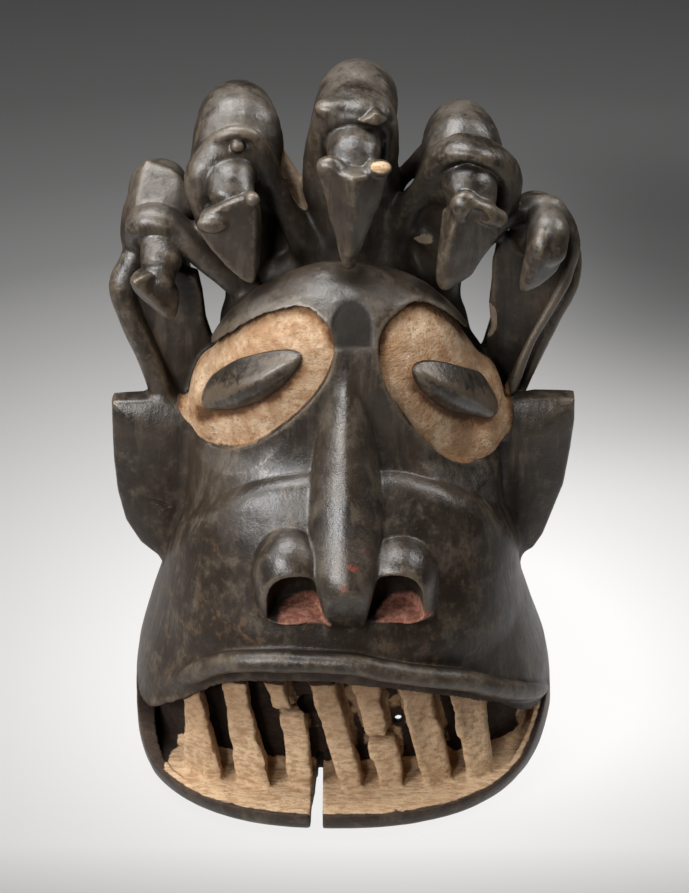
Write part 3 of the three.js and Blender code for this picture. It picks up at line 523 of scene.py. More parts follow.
def roof_value(x, y, z):
    """Below nought under the arches of the helmet's roof."""
    half = rounded_line(ROOF_LEVELS, 1, y)
    rise = rounded_line(ROOF_LEVELS, 2, y)
    up = np.maximum(z - ROOF_BASE, 0.0)
    return (np.sqrt((x / half) ** 2 + (up / rise) ** 2) - 1.0) * half


def muzzle_value(x, y, z):
    """Below nought inside the muzzle and jaw, whose bottom is turned a little to one side."""
    half = rounded_line(MUZZLE_LEVELS, 1, z, 3.0)
    front = rounded_line(MUZZLE_LEVELS, 2, z, 3.0)
    shift = rounded_line(MUZZLE_LEVELS, 3, z)
    power = rounded_line(MUZZLE_LEVELS, 4, z)
    slew = JAW_SLEW * np.clip((110.0 - z) / 60.0, 0.0, 1.0) * np.clip((-45.0 - y) / 75.0, 0.0, 1.0)
    return oval_value(x + shift + slew, y, half, front, MUZZLE_BACK, MUZZLE_MIDDLE, power)


def turned(x, z, middle, tilt):
    """Places in the front view, measured along and across a slanted line."""
    c = math.cos(math.radians(tilt))
    s = math.sin(math.radians(tilt))
    return (x - middle[0]) * c + (z - middle[1]) * s, -(x - middle[0]) * s + (z - middle[1]) * c


def ring_value(x, z, middle, half, tilt):
    """Signed distance to a slanted oval in the front view, near enough for carving."""
    u, v = turned(x, z, middle, tilt)
    near = (np.abs(u / half[0]) ** RING_POWER + np.abs(v / half[1]) ** RING_POWER) ** (1.0 / RING_POWER)
    slope = np.sqrt((u / half[0] ** 2) ** 2 + (v / half[1] ** 2) ** 2)
    return near * (near - 1.0) / np.maximum(slope, 1e-4)


def eye_distance(x, z):
    """Signed distance to the nearer of the two recessed ovals."""
    return np.minimum(ring_value(x, z, *EYES[0][:3]), ring_value(x, z, *EYES[1][:3]))


def ball_places(x, z, middle, half, tilt, lid):
    """Places on an eyeball as shares of its half length and of its height above or below the middle."""
    u, v = turned(x, z, middle, tilt)
    v = lid * v
    return np.abs(u / half[0]) ** 1.6, v / np.where(v > 0.0, half[1], half[2])


def ball_share(x, z, *ball):
    """Nought in the middle of an almond shape and one on its edge."""
    u, v = ball_places(x, z, *ball)
    return u + v ** 2


def ball_height(x, z, *ball):
    """Rise of an eyeball: a short slope for the lid above its ridge, a long swell below it."""
    u, v = ball_places(x, z, *ball)
    length = np.sqrt(np.maximum(1.0 - u, 0.0))
    v = v / np.maximum(length, 0.05)
    above = np.clip((1.0 - v) / (1.0 - EYE_RIDGE), 0.0, 1.0)
    below = np.clip((v + 1.0) / (1.0 + EYE_RIDGE), 0.0, 1.0)
    return EYE_RISE * length ** 0.8 * np.minimum(above, np.sin(0.5 * math.pi * below) ** 0.8)


def niche_distance(x, z):
    """Signed distance to the round-topped niche in the front view."""
    middle, half, bottom, top = NICHE
    arch = np.sqrt((x - middle) ** 2 + np.maximum(z - (top - half), 0.0) ** 2) - half
    return np.maximum(arch, bottom - z)


def mouth_value(x, y, z, outer):
    """Space of the mouth: below the lip, above the shelf and rim, in front of the recess wall."""
    near = np.sqrt((x / RECESS_HALF) ** 2 + ((y - RECESS_MIDDLE) / (RECESS_MIDDLE - RECESS_FRONT)) ** 2)
    wall = np.minimum((near - 1.0) * 74.0, RECESS_MIDDLE - y)
    space = soft_max(z - rounded_line(LIP_EDGE, 1, x), SHELF - z, 1.0)
    space = soft_max(space, -wall, 4.0)
    rim_top = np.interp(y, [-150, -120, -58], [SHELF, SHELF + 3, 47])
    width = RIM_WIDTH + np.interp(x, [-150, -110], [9, 0]) * np.interp(z, [22, 45], [0.3, 1])
    rim = np.maximum(-(outer + width), z - rim_top)
    return np.maximum(space, -rim)


def tooth_value(x, y, z, foot, row):
    """Signed distance to one tooth bar, whose whole ends run on into the shelf and the lip."""
    low, left_low, right_low, high, left_high, right_high = row
    whole = (high - low) > 55 or low > 50
    t = (z - low) / (high - low)
    left = left_low + (left_high - left_low) * t
    right = right_low + (right_high - right_low) * t
    front = foot + 10.0 * (z - SHELF) / 106.0
    front = front + TOOTH_TURN * 0.5 * (left_low + right_low) / 110.0 * (x - 0.5 * (left + right))
    bottom = low - 3.0 if low < 40 else low
    lip = np.array(LIP_EDGE, float)
    hidden = float(np.interp(0.5 * (left_high + right_high), lip[:, 0], lip[:, 1]))
    top = hidden + 5.0 if whole and high > 81 else high
    sides = np.maximum(left - x, x - right)
    depth = np.maximum(front - y, y - front - TOOTH_DEPTH)
    ends = np.maximum(bottom - z, z - top)
    return soft_max(soft_max(sides, depth, 3.0), ends, 3.0)


def wedge(block, corners, blend, edge=2.5):
    """Adds the solid spanned by a few corner points, with slightly rounded edges."""
    hull = bmesh.new()
    for corner in corners:
        hull.verts.new(corner)
    bmesh.ops.convex_hull(hull, input=hull.verts)
    hull.normal_update()
    middle = np.mean(corners, axis=0)
    slices, x, y, z = block.window(np.min(corners, axis=0) - 8, np.max(corners, axis=0) + 8)
    value = np.full(block.value[slices].shape, -FAR, np.float32)
    done = []
    for face in hull.faces:
        normal = np.array(face.normal)
        reach = float(normal @ np.array(face.verts[0].co))
        if normal @ middle > reach:
            normal, reach = -normal, -reach
        if any(n @ normal > 0.999 and abs(r - reach) < 0.5 for n, r in done):
            continue
        done.append((normal, reach))
        plane = x * normal[0] + y * normal[1] + z * normal[2] - reach
        value = soft_max(value, plane.astype(np.float32), edge)
    hull.free()
    block.join(slices, value, blend)


def eye_cuts(body, x, y, z):
    """Body with its pale recessed ovals and the eyeballs in them."""
    front = y < FACE_BACK
    temples = body
    for middle, radii in TEMPLES:
        temples = soft_min(temples, ellipsoid(x, y, z, middle, radii), 16.0).astype(np.float32)
    carved = body.copy()
    for ring, ring_half, tilt, *ball in EYES:
        oval = ring_value(x, z, ring, ring_half, tilt)
        recess = np.where(front, np.maximum(oval, -(temples + RING_DEPTH)), FAR)
        carved = soft_max(carved, -recess, 1.2)
        bed = np.where(front, np.maximum(oval, temples + RING_DEPTH), FAR)
        carved = soft_min(carved, bed, 1.0)
        dome = temples + RING_DEPTH - ball_height(x, z, *ball)
        dome = np.where(front, np.maximum(dome, (ball_share(x, z, *ball) - 1.0) * 9.0), FAR)
        carved = soft_min(carved, dome.astype(np.float32), 1.0)
    niche = np.where(front, np.maximum(niche_distance(x, z), -(body + NICHE_DEPTH)), FAR)
    return soft_max(carved, -niche, 0.5)


def ears(block):
    """Slab ears with swollen faces and rounded edges."""
    for outline in (EAR_LEFT, EAR_RIGHT):
        side = math.copysign(1.0, outline[0][0])
        slices, x, y, z = block.window((min(95 * side, 181 * side), -50, 125),
                                       (max(95 * side, 181 * side), 10, 295))
        edge = outline_distance(x, z, outline) + 5.0
        bulge = 6.0 + 8.0 * (1.0 - np.exp(np.minimum(edge, 0.0) / 16.0))
        ear = soft_max(edge, np.abs(y - EAR_MIDDLE) - bulge, 6.0) - 4.0
        block.join(slices, ear, 7.0)


def teeth(block):
    """Tooth bars with roughly cut faces."""
    for foot, rows in TEETH:
        for row in rows:
            slices, x, y, z = block.window((min(row[1], row[4]) - 6, foot - 4, 12),
                                           (max(row[2], row[5]) + 6, foot + 40, 134))
            places = [x.ravel(), y.ravel(), z.ravel()]
            rough = 0.8 * lattice_noise(places, 4.5, int(foot + row[1] + 400))
            rough = rough + 1.7 * lattice_noise(places, 13.0, int(foot + row[1] + 700)) - 0.8
            block.join(slices, tooth_value(x, y, z, foot, row) + rough, 2.0)


def crown(block):
    """The five animals: limbs, webs between them, cut faces, and small hollows and lumps."""
    for points, radii, hint, blend in CROWN_LIMBS:
        block.limb(points, radii, hint, blend)
    for outline, near, far in PANELS:
        low = (min(p[0] for p in outline) - 8, near - 8, min(p[1] for p in outline) - 8)
        high = (max(p[0] for p in outline) + 8, far + 8, max(p[1] for p in outline) + 8)
        slices, x, y, z = block.window(low, high)
        sheet = soft_max(outline_distance(x, z, outline), np.maximum(near - y, y - far), 4.0)
        block.join(slices, sheet, 4.0)
    for corners, *sizes in CROWN_WEDGES:
        wedge(block, corners, *sizes)
    block.cut_ball(*SHOULDER_HOLLOW, (-96, -50, 464), (-50, -18, 500), 2.0)
    for middle, radii, blend in CROWN_LUMPS + [SHOULDER_BOSS + (2,)]:
        reach = max(radii) + blend + 4
        block.join_ball(middle, radii, [m - reach for m in middle], [m + reach for m in middle], blend)
    block.cut_ball(*SOCKET, (80, -74, 426), (106, -54, 456), 1.5)


def carve():
    """Works out the whole mask and the fields that its colours follow."""
    block = Block()
    x, y, z = block.window(LOW, HIGH)[1:]
    head = soft_max(true_distance(head_value(x, y, z)), z - HEAD_TOP, 10.0)
    body = soft_max(head, true_distance(roof_value(x, y, z)), 16.0)
    carved = eye_cuts(body, x, y, z)
    muzzle = soft_max(true_distance(muzzle_value(x, y, z)), JAW_BOTTOM - z, 6.0)
    inset = CREASE + 4.0 * np.clip((np.abs(x) - 40.0) / 60.0, 0.0, 1.0)
    cheeks = soft_min(carved, np.maximum(muzzle + inset, z - CHEEK_TOP), 24.0)
    fade = np.clip(eye_distance(x, z) / 10.0, 0.0, 1.0)
    carved = cheeks * fade + carved * (1.0 - fade)
    arc = rounded_line(MUZZLE_ARC, 1, x)
    block.value = soft_min(carved, soft_max(muzzle, (z - arc) * 0.8, 7.0), 0.3).astype(np.float32)
    ears(block)
    nose(block)
    ridge = [(3, 3), (6, 6)] + [(8, 8)] * (len(LIP_RIDGE) - 4) + [(6, 6), (3, 3)]
    block.limb(LIP_RIDGE, ridge, (0, 0, 1), 4)
    block.value = np.maximum(block.value, -mouth_value(x, y, z, muzzle)).astype(np.float32)
    teeth(block)
    crown(block)
    grid = [x.ravel(), y.ravel(), z.ravel()]
    tooled = (0.25 + 0.75 * np.clip((z - TOOLED) / 60.0, 0.0, 1.0)).astype(np.float32)
    block.value += 0.5 * lattice_noise(grid, 34.0, 3) + 0.2
    block.value += tooled * (0.65 * lattice_noise(grid, 13.0, 5) + 0.22 * lattice_noise(grid, 5.0, 7))
    cavity = body + WALL + 1.4 * lattice_noise(grid, 26.0, 11)
    block.value = soft_max(block.value, -cavity.astype(np.float32), 2.0)
    cracks(block)
    block.value = soft_max(block.value, -z, 1.0)
    return block, body, muzzle


def nose(block):
    """Tube nose with a cut face under the tip, and the two hooded nostrils."""
    levels = sorted(NOSE_LEVELS)
    slices, x, y, z = block.window((-36, -196, 140), (38, -60, 352))
    half = rounded_line(levels, 1, z, 4.0)
    front = rounded_line(levels, 2, z, 4.0)
    back = front + 26.0 + 2.0 * half
    tube = true_distance(oval_value(x - 1.0, y, half, front, back, front + half, NOSE_POWER))
    tube = soft_max(tube, z - NOSE_TOP, 4.0)
    run = math.hypot(NOSE_FOOT[0] - NOSE_TIP[0], NOSE_FOOT[1] - NOSE_TIP[1])
    ny = (NOSE_FOOT[1] - NOSE_TIP[1]) / run
    nz = -(NOSE_FOOT[0] - NOSE_TIP[0]) / run
    under = (y - NOSE_TIP[0]) * ny + (z - NOSE_TIP[1]) * nz
    tube = soft_max(tube, under, 1.5)
    for middle, floor, top in NOSTRILS:
        window, hx, hy, hz = block.window((middle - 38, -186, 150), (middle + 38, -90, 244))
        lower = np.clip((HOOD_SWELL - hz) / 33.0, 0.0, 1.0)
        u = (hx - middle) / (28.5 - 1.5 * lower)
        v = (hy - HOOD_MIDDLE) / (33.0 - 9.0 * lower * lower)
        w = np.maximum(hz - HOOD_SWELL, 0.0) / (top - HOOD_SWELL)
        hood = (np.sqrt(u * u + v * v + w * w) - 1.0) * 28.0
        hood = soft_max(hood, HOOD_BOTTOM - hz, 2.0)
        block.join(window, hood, 1.5)
        u = (hx - floor) / NOSTRIL_HALF
        v = (hy + 166.0) / 36.0
        w = np.maximum(hz - 184.0, 0.0) / (28.0 - 0.3 * (hy + 166.0))
        space = ((np.abs(u) ** 2.5 + np.abs(v) ** 2.5 + w ** 2.5) ** 0.4 - 1.0) * NOSTRIL_HALF
        space = soft_max(space, NOSTRIL_FLOOR + 0.10 * (hy + 150.0) - hz, 1.5)
        block.cut(window, space, 1.5)
    block.join(slices, tube, 3.0)


def cracks(block):
    """Open drying crack through the jaw, the holes behind the teeth and the check in the left ear."""
    slices, x, y, z = block.window((-40, -198, -10), (0, -95, 50))
    waver = np.random.default_rng(4).uniform(-1, 1, 26)
    left = rounded_line(CRACK, 1, y, 4.0) + 0.8 * np.interp(z + 0.4 * y, np.arange(-120, 60, 7.0), waver)
    gap = np.maximum(np.maximum(left - x, x - CRACK_RIGHT), np.maximum(z - CRACK_TOP, y + 100.0))
    block.cut(slices, gap)
    slices, x, y, z = block.window((30, -150, 30), (50, -90, 90))
    middle, radius = BORE
    bore = np.sqrt((x - middle) ** 2 + (z - 65.0 + 0.577 * (y + 128.0)) ** 2) - radius
    block.cut(slices, bore)
    block.cut_ball(*KNOT, (-40, -150, 60), (-12, -104, 92), 2.0)
    slices, x, y, z = block.window((-176, -48, 186), (-122, -26, 212))
    groove = np.maximum(line_distance(x, z, EAR_CRACK) - 1.2, np.abs(y + 38.0) - 3.0)
    block.cut(slices, groove)


def share(distance, width=10.0):
    """One inside a zone, nought outside, a half on its border."""
    return np.clip(0.5 - distance / width, 0.0, 1.0)


def raw_wood(x, y, z, mouth, outer):
    """Signed distance to the bare wood: shelf, teeth, the jaw's right side and the small breaks; at the
    viewer's left the jaw stays dark as painted shade.
    """
    shelf = np.maximum(np.maximum(z - 27.0, mouth - 3.0), outer + 3.0)
    # The bare shelf stops at a slanted line on the viewer's left, leaving painted shade there
    shelf = np.maximum(shelf, 0.24 * (y + 125.0) - 134.0 - x)
    bars = np.full(len(x), FAR)
    for foot, rows in TEETH:
        for row in rows:
            bars = np.minimum(bars, tooth_value(x, y, z, foot, row))
    bars = np.maximum(bars - 4.0, z - np.minimum(107.0, rounded_line(LIP_EDGE, 1, x) - 2.0))
    # Only the jaw's right inner wall is bare; the left one keeps the dark colour as painted shade
    side = np.maximum(np.maximum(mouth - 3.0, np.abs(z - 30.0) - 14.0), outer + 4.0)
    side = np.maximum(side, np.maximum(100.0 - x, -outer - 17.0))
    raw = np.minimum(np.minimum(shelf, bars), side)
    for middle, radii in RAW_SPOTS:
        raw = np.minimum(raw, ellipsoid(x, y, z, middle, radii))
    return raw


def eye_colours(x, y, z, inner):
    """Distance to the pale ovals round the eyeballs, and the share of stain on them."""
    ovals = eye_distance(x, z)
    balls = np.minimum(ball_share(x, z, *EYES[0][3:]), ball_share(x, z, *EYES[1][3:]))
    rings = np.maximum(ovals, (1.0 - balls) * 14.0)
    rings = np.where((y < -18.0) & (inner > -14.0), rings, FAR)
    drop = np.where(x < 0, 318.0 + 0.7 * (x + 66.0), 303.0 - 0.9 * (x - 82.0)) - z
    lower = np.clip(drop / 14.0, 0.0, 1.0)
    near_ball = share((balls - 1.0) * 12.0 - 12.0 * lower, 6.0 + 12.0 * lower)
    return rings, np.maximum(near_ball, share(-ovals - 5.0, 10.0) * (1.0 - 0.6 * lower))


def edge_wear(points, block):
    """More than a half on edges that stand out, less in hollows."""
    step = 5.0
    steps = step * np.vstack([np.eye(3), -np.eye(3)])
    around = sum(block.at(points + way) for way in steps)
    return np.clip(0.5 + 0.35 * (around - 6.0 * block.at(points)) / step, 0.0, 1.0)


def zone_values(points, block, body, muzzle):
    """Shares of the colour zones at each vertex."""
    x, y, z = points.T
    carved = block.value
    block.value = muzzle
    outer = block.at(points)
    block.value = body
    inner = block.at(points)
    block.value = carved
    mouth = mouth_value(x, y, z, outer)
    rings, eye_stain = eye_colours(x, y, z, inner)
    red = np.full(len(points), FAR)
    for _, floor, _ in NOSTRILS:
        red = np.minimum(red, ellipsoid(x, y, z, (floor + 7, -152, 168), (21, 27, 17)))
    red = np.maximum(red, HOOD_BOTTOM - z)
    snout = np.where(y < -60.0, 5.0 * (outer - 12.0), outer - 36.0)
    niche = np.where(y < -40.0, niche_distance(x, z) - 1.0, FAR)
    return {
        "raw": share(raw_wood(x, y, z, mouth, outer)),
        "ring": share(rings, 5.0),
        "stain": eye_stain,
        "red": share(red, 10.0),
        "flecks": share(ellipsoid(x, y, z, (4, -176, 228), (15, 34, 28)), 12.0),
        "wear": edge_wear(points, block),
        "mouth": share(mouth - 3.0),
        "hollow": share(inner + WALL - 4.0),
        "snout": share(np.maximum(z - 226.0, snout), 60.0),
        "niche": share(niche, 4.0),
    }


def field_mesh(block):
    """Mesh of the field in millimetres, brought down to the number of triangles wanted."""
    grid = openvdb.FloatGrid(FAR)
    grid.copyFromArray(block.value)
    points, _, quads = grid.convertToPolygons(0.0, 0.0)
    start = np.array([a[0] for a in block.axes])
    mesh = bpy.data.meshes.new("mask")
    mesh.vertices.add(len(points))
    mesh.vertices.foreach_set("co", (start + points * STEP).astype(np.float32).ravel())
    mesh.loops.add(quads.size)
    mesh.loops.foreach_set("vertex_index", quads.astype(np.int32).ravel())
    mesh.polygons.add(len(quads))
    mesh.polygons.foreach_set("loop_start", np.arange(0, quads.size, 4, dtype=np.int32))
    mesh.update(calc_edges=True)
    draft = bpy.data.objects.new("draft", mesh)
    bpy.context.scene.collection.objects.link(draft)
    lighter = draft.modifiers.new("lighter", "DECIMATE")
    lighter.ratio = TRIANGLES / (2.0 * len(quads))
    graph = bpy.context.evaluated_depsgraph_get()
    final = bpy.data.meshes.new_from_object(draft.evaluated_get(graph))
    bpy.data.objects.remove(draft)
    return final


def mask_object():
    """Carved mask in metres, with its colour zones and surface directions."""
    block, body, muzzle = carve()
    final = field_mesh(block)
    places = np.empty(len(final.vertices) * 3, np.float32)
    final.vertices.foreach_get("co", places)
    places = places.reshape(-1, 3).astype(float)
    steps = 1.3 * np.eye(3)
    slope = np.stack([block.at(places + step) - block.at(places - step) for step in steps], axis=1)
    slope /= np.maximum(np.linalg.norm(slope, axis=1), 1e-6)[:, None]
    zones = zone_values(places, block, body, muzzle)
    # Painted shade: how far the wood closes in round each point, 14 and 34 mm out along its surface
    # direction
    painted_shade = 0.6 * block.at(places + 14.0 * slope) / 14.0 + 0.4 * block.at(places + 34.0 * slope) / 34.0
    zones["painted_shade"] = np.clip(1.0 - painted_shade, 0.0, 1.0)
    for name, values in zones.items():
        layer = final.attributes.new(name, "FLOAT", "POINT")
        layer.data.foreach_set("value", values.astype(np.float32))
    places[:, 1] += DEPTH_SHIFT
    final.vertices.foreach_set("co", (places / 1000.0).astype(np.float32).ravel())
    final.update()
    normals = np.empty(len(final.vertices) * 3, np.float32)
    final.vertices.foreach_get("normal", normals)
    if (normals.reshape(-1, 3) * slope).sum() < 0:
        final.flip_normals()
    final.polygons.foreach_set("use_smooth", np.ones(len(final.polygons), bool))
    final.normals_split_custom_set_from_vertices(slope.tolist())
    final.name = "carved_mask"
    mask = bpy.data.objects.new("carved_mask", final)
    bpy.context.scene.collection.objects.link(mask)
    return mask


class Nodes:
    """Short way to write a shader."""

    def __init__(self, material):
        material.use_nodes = True
        self.tree = material.node_tree
        self.tree.nodes.clear()

    def new(self, kind, inputs=None, **settings):
        """Adds a node, makes its settings and links or sets its inputs. Colours are given without alpha."""
        node = self.tree.nodes.new(kind)
        for name, value in settings.items():
            setattr(node, name, value)
        for name, value in (inputs or {}).items():
            socket = node.inputs[name]
            if isinstance(value, bpy.types.NodeSocket):
                self.tree.links.new(value, socket)
            elif socket.type == "RGBA":
                socket.default_value = (*value, 1.0)
            else:
                socket.default_value = value
        return node

    def zone(self, name):
        """Share of a colour zone that is stored on the mesh."""
        return self.new("ShaderNodeAttribute", attribute_name=name).outputs["Fac"]

    def math(self, operation, first, *others):
        """Takes one operation through a row of values."""
        for other in others:
            first = self.new("ShaderNodeMath", {0: first, 1: other}, operation=operation).outputs[0]
        return first

    def times(self, *values):
        """Product of a row of values."""
        return self.math("MULTIPLY", *values)

    def plus(self, *values):
        """Sum of a row of values."""
        return self.math("ADD", *values)

    def less(self, *values):
        """First value less the others."""
        return self.math("SUBTRACT", *values)

    def most(self, *values):
        """Largest of a row of values."""
        return self.math("MAXIMUM", *values)

    def mix(self, part, a, b):
        """Colour between two colours."""
        return self.new("ShaderNodeMix", {0: part, 6: a, 7: b}, data_type="RGBA").outputs[2]

    def layers(self, colour, *coats):
        """Lays colours over a first one, each with its share."""
        for part, coat in coats:
            colour = self.mix(part, colour, coat)
        return colour

    def ramp(self, value, low, high):
        """Soft step from 0 at low to 1 at high."""
        return self.new("ShaderNodeMapRange", {"Value": value, "From Min": low, "From Max": high},
                        interpolation_type="SMOOTHSTEP").outputs[0]

    def line(self, value, low, high, start, end):
        """Straight slope from start at low to end at high, held beyond them."""
        return self.new("ShaderNodeMapRange", {"Value": value, "From Min": low, "From Max": high,
                                               "To Min": start, "To Max": end}).outputs[0]

    def noise(self, where, scale, detail, rough):
        """Grey noise of a given fineness."""
        return self.new("ShaderNodeTexNoise", {"Vector": where, "Scale": scale, "Detail": detail,
                                               "Roughness": rough}).outputs["Fac"]

    def split(self, vector):
        """X, Y and Z of a vector."""
        return self.new("ShaderNodeSeparateXYZ", {"Vector": vector}).outputs

    def finish(self, shader):
        """Makes a shader the surface of the material."""
        self.new("ShaderNodeOutputMaterial", {"Surface": shader})


def wood_material():
    """Dark patina over brown wood, raw pale wood in the cuts, red pigment in the nostrils."""
    material = bpy.data.materials.new("carved_wood")
    n = Nodes(material)
    where = n.new("ShaderNodeTexCoord").outputs["Object"]
    place = n.split(where)
    upward = n.split(n.new("ShaderNodeNewGeometry").outputs["Normal"])["Z"]
    stretched = n.new("ShaderNodeMapping", {"Vector": where, "Scale": (1.0, 1.0, 0.14)}).outputs[0]
    across = n.new("ShaderNodeMapping", {"Vector": where, "Scale": (0.35, 1.0, 1.0)}).outputs[0]
    grain = n.noise(stretched, 210.0, 6.0, 0.6)
    cloud = n.noise(where, 15.0, 6.0, 0.62)
    dust = n.noise(where, 48.0, 8.0, 0.7)
    streak = n.noise(stretched, 75.0, 6.0, 0.65)
    speck = n.noise(where, 260.0, 3.0, 0.7)
    ragged = n.noise(where, 90.0, 5.0, 0.65)
    fibre = n.noise(across, 330.0, 5.0, 0.65)

    # Colour zones, most of them with ragged borders
    edge = n.times(n.less(ragged, 0.5), 0.42)
    raw = n.ramp(n.plus(n.zone("raw"), edge), 0.44, 0.56)
    ring = n.ramp(n.plus(n.zone("ring"), n.times(edge, 0.5)), 0.42, 0.58)
    red = n.ramp(n.plus(n.zone("red"), n.times(edge, 0.8)), 0.35, 0.75)
    stain = n.plus(n.zone("stain"), n.times(edge, 2.6))
    flaws = n.plus(n.times(ragged, 0.6), n.times(speck, 0.9))
    worn = n.ramp(n.plus(n.zone("wear"), n.less(flaws, 0.75)), 0.66, 0.95)
    # Painted shade in recesses, from how closely the wood closes in
    painted_shade = n.ramp(n.zone("painted_shade"), 0.25, 0.85)
    fleck = n.times(n.zone("flecks"), n.ramp(ragged, 0.60, 0.66))
    mouth = n.zone("mouth")
    hollow = n.zone("hollow")
    snout = n.zone("snout")
    niche = n.zone("niche")

    # Patina: dust and streaks, a grey coat on what faces up that is partly dust and partly painted sheen,
    # worn edges and painted shade in hollows
    dust_and_sheen = n.times(n.ramp(upward, 0.1, 0.9), n.ramp(n.plus(cloud, n.times(streak, 0.5)), 0.62, 0.88),
                   n.ramp(place["Z"], 0.395, 0.43))
    dark = n.layers(
        n.mix(n.ramp(cloud, 0.36, 0.64), (0.016, 0.0115, 0.008), (0.048, 0.033, 0.021)),
        (n.times(n.ramp(dust, 0.50, 0.66), 0.5), (0.105, 0.082, 0.058)),
        (n.times(n.ramp(streak, 0.50, 0.64), 0.5), (0.11, 0.085, 0.058)),
        # Partly dust, partly painted sheen on what faces up
        (n.times(dust_and_sheen, 0.55), (0.12, 0.108, 0.090)),
        (n.times(n.ramp(grain, 0.50, 0.30), 0.5), (0.010, 0.008, 0.007)),
        (n.times(worn, 0.55), (0.15, 0.112, 0.075)),
        (n.times(snout, n.ramp(dust, 0.62, 0.40)), (0.020, 0.0125, 0.008)),
        (n.times(snout, n.ramp(ragged, 0.54, 0.70)), (0.075, 0.046, 0.026)),
        # Painted shade in recesses
        (n.times(painted_shade, 0.75), (0.013, 0.009, 0.006)),
        (n.times(niche, 0.85), (0.017, 0.014, 0.012)),
        (n.times(n.ramp(speck, 0.66, 0.80), 0.4), (0.19, 0.14, 0.095)),
        (mouth, n.mix(n.ramp(fibre, 0.35, 0.7), (0.022, 0.012, 0.008), (0.052, 0.028, 0.017))),
        # Stronger painted shade far back in the mouth
        (n.times(painted_shade, mouth, 0.8), (0.008, 0.005, 0.004)),
        (hollow, n.mix(n.ramp(grain, 0.35, 0.7), (0.075, 0.045, 0.028), (0.135, 0.088, 0.055))),
    )

    # Bare wood: specks, painted shadow of the lip darkening the upper teeth, and greyer further back
    painted_lip_shadow = n.times(n.ramp(place["Z"], 0.04, 0.10), n.ramp(place["Z"], 0.20, 0.15))
    pale = n.layers(
        n.mix(n.ramp(fibre, 0.36, 0.60), (0.40, 0.25, 0.14), (0.62, 0.44, 0.275)),
        (n.times(n.ramp(cloud, 0.42, 0.66), 0.45), (0.36, 0.215, 0.115)),
        (n.times(n.ramp(speck, 0.60, 0.72), 0.55), (0.14, 0.08, 0.045)),
        # Painted shadow of the lip
        (n.times(painted_lip_shadow, 0.6), (0.20, 0.115, 0.062)),
        (n.times(n.ramp(place["Y"], -0.045, -0.025), 0.75), (0.27, 0.215, 0.165)),
    )

    # Pale ovals round the eyes, with their stains
    cream = n.layers(
        n.mix(n.ramp(dust, 0.34, 0.60), (0.62, 0.45, 0.30), (0.40, 0.24, 0.13)),
        (n.times(n.ramp(ragged, 0.50, 0.66), 0.45), (0.30, 0.155, 0.07)),
        (n.times(n.ramp(speck, 0.58, 0.68), 0.7), (0.20, 0.11, 0.06)),
        (n.times(n.ramp(stain, 0.1, 0.8), 0.75), (0.26, 0.125, 0.052)),
        (n.times(n.ramp(stain, 0.50, 0.95), 0.85), (0.060, 0.025, 0.012)),
    )

    # Red pigment in the nostrils, darkened by painted shade far inside them, and flecks of red on the nose
    blush = n.layers(
        n.mix(n.ramp(speck, 0.40, 0.60), (0.32, 0.120, 0.082), (0.55, 0.265, 0.185)),
        # Painted shade far inside the nostrils
        (n.times(painted_shade, 0.35), (0.05, 0.016, 0.011)),
    )
    colour = n.layers(
        dark,
        (raw, pale),
        (ring, cream),
        (n.times(red, 0.9), blush),
        (n.times(fleck, 0.6), (0.22, 0.045, 0.025)),
    )

    # The patina shines, while bare and painted wood and recessed places, which also carry painted shade, are
    # dull
    gloss = n.line(n.plus(n.times(cloud, 0.5), n.times(dust, 0.5)), 0.38, 0.62, 0.30, 0.46)
    dull = n.most(raw, ring, red, mouth, hollow)
    shade = n.most(painted_shade, niche)
    rough = n.plus(gloss, n.times(dull, 0.42), n.times(shade, 0.3), n.times(snout, 0.06))
    shine = n.less(0.8, n.times(n.most(dull, shade, n.times(snout, 0.8)), 0.6))

    # Fine relief: grain, tool facets and specks, coarser on bare wood
    facets = n.new("ShaderNodeTexVoronoi", {"Vector": where, "Scale": 62.0, "Smoothness": 0.35},
                   feature="SMOOTH_F1").outputs["Distance"]
    coarse = n.times(n.plus(n.times(fibre, 0.8), n.times(ragged, 1.2)),
                     n.most(n.times(ring, 1.5), raw, mouth))
    height = n.plus(n.times(grain, 0.30), n.times(facets, 0.22), n.times(dust, 0.16), n.times(speck, 0.16),
                    n.times(n.noise(where, 620.0, 2.0, 0.6), 0.10), coarse)
    bump = n.new("ShaderNodeBump", {"Height": height, "Strength": 0.62, "Distance": 0.0022}).outputs[0]
    n.finish(n.new("ShaderNodeBsdfPrincipled", {
        "Base Color": colour, "Roughness": rough, "Normal": bump, "Specular IOR Level": shine,
    }).outputs[0])
    return material


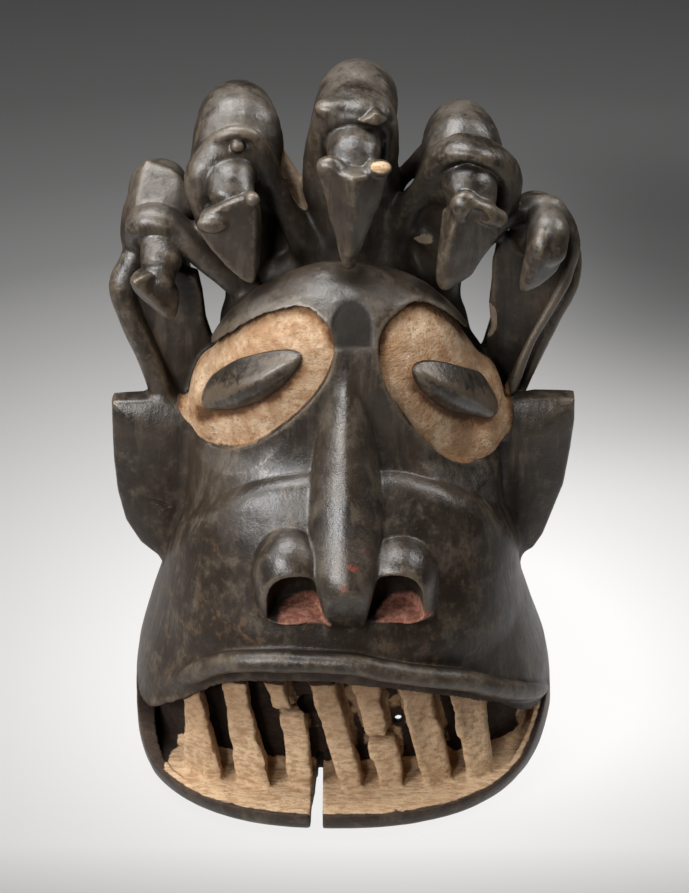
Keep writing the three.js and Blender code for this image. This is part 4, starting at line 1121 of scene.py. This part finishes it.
def floor_object():
    """Wide floor that glows with a painted pool of light, bright round the mask and fading to grey further
    out.
    """
    mesh = bpy.data.meshes.new("floor")
    corners = [(-1, -1), (1, -1), (1, 1), (-1, 1)]
    mesh.from_pydata([(FLOOR_HALF * x, FLOOR_HALF * y, 0) for x, y in corners], [], [(0, 1, 2, 3)])
    floor = bpy.data.objects.new("floor", mesh)
    bpy.context.scene.collection.objects.link(floor)
    material = bpy.data.materials.new("floor")
    n = Nodes(material)
    where = n.new("ShaderNodeTexCoord").outputs["Object"]
    place = n.split(where)
    around = n.new("ShaderNodeVectorMath", {0: where, 1: (0.03, 0.05, 0.0)}, operation="SUBTRACT").outputs[0]
    reach = n.new("ShaderNodeVectorMath", {0: around}, operation="LENGTH").outputs["Value"]
    span = FLOOR_LIGHT_POOL[-1][0]
    fade = n.new("ShaderNodeValToRGB", {"Fac": n.math("DIVIDE", reach, span)})
    stops = fade.color_ramp.elements
    for distance, _ in FLOOR_LIGHT_POOL[1:-1]:
        stops.new(distance / span)
    for stop, (distance, grey) in zip(stops, FLOOR_LIGHT_POOL):
        stop.position = distance / span
        stop.color = (grey, grey * 0.985, grey * 0.975, 1.0)

    # Painted shade behind on the right, painted light beside the mask there, and painted shade close to the
    # camera
    shade = n.times(n.ramp(place["Y"], 0.36, 0.72), n.ramp(place["Y"], 1.15, 0.85),
                    n.ramp(place["X"], 0.05, 0.34), -0.62)
    lift = n.times(n.ramp(place["Y"], 0.45, 0.30), n.ramp(place["X"], 0.0, 0.2), 0.13,
                   n.ramp(place["Y"], -0.2, 0.0))
    near = n.times(n.line(place["Y"], -0.285, -0.18, 0.62, 1.0), n.plus(shade, lift, 1.0))
    paint = n.new("ShaderNodeBsdfDiffuse", {"Color": (0.03, 0.03, 0.03)}).outputs[0]
    glow = n.new("ShaderNodeEmission", {"Color": fade.outputs["Color"], "Strength": near}).outputs[0]
    n.finish(n.new("ShaderNodeAddShader", {0: paint, 1: glow}).outputs[0])
    floor.data.materials.append(material)
    return floor


def softbox(name, place, aim, size, power):
    """Soft rectangular light that looks at a point."""
    light = bpy.data.lights.new(name, "AREA")
    light.shape = "RECTANGLE"
    light.size, light.size_y = size
    light.energy = power
    holder = bpy.data.objects.new(name, light)
    holder.location = place
    direction = Vector(aim) - Vector(place)
    holder.rotation_euler = direction.to_track_quat("-Z", "Y").to_euler()
    bpy.context.scene.collection.objects.link(holder)


def faint_world():
    """Very faint, slightly cool light from all round."""
    world = bpy.data.worlds.new("world")
    world.use_nodes = True
    inputs = world.node_tree.nodes["Background"].inputs
    inputs["Color"].default_value = (0.95, 0.97, 1.0, 1.0)
    inputs["Strength"].default_value = 0.02
    bpy.context.scene.world = world


def camera_object():
    """Straight in front of the face and 30 degrees above it."""
    tilt = math.radians(CAMERA_TILT)
    data = bpy.data.cameras.new("camera")
    data.lens = CAMERA_LENS
    data.sensor_width = 36.0
    data.clip_end = 60.0
    camera = bpy.data.objects.new("camera", data)
    camera.location = np.array(CAMERA_AIM) - CAMERA_REACH * np.array([0.0, math.cos(tilt), -math.sin(tilt)])
    camera.rotation_euler = (math.pi / 2 - tilt, 0.0, 0.0)
    bpy.context.scene.collection.objects.link(camera)
    bpy.context.scene.camera = camera


def main():
    """Makes the mask, its floor, lights and camera."""
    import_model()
    mask = mask_object()
    mask.data.materials.append(wood_material())
    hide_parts("helmet_mask")
    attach(mask, "root")
    floor_object()
    for name, light in LIGHTS.items():
        softbox(name, *light)
    faint_world()
    bpy.context.scene.view_settings.view_transform = "Standard"
    camera_object()


main()
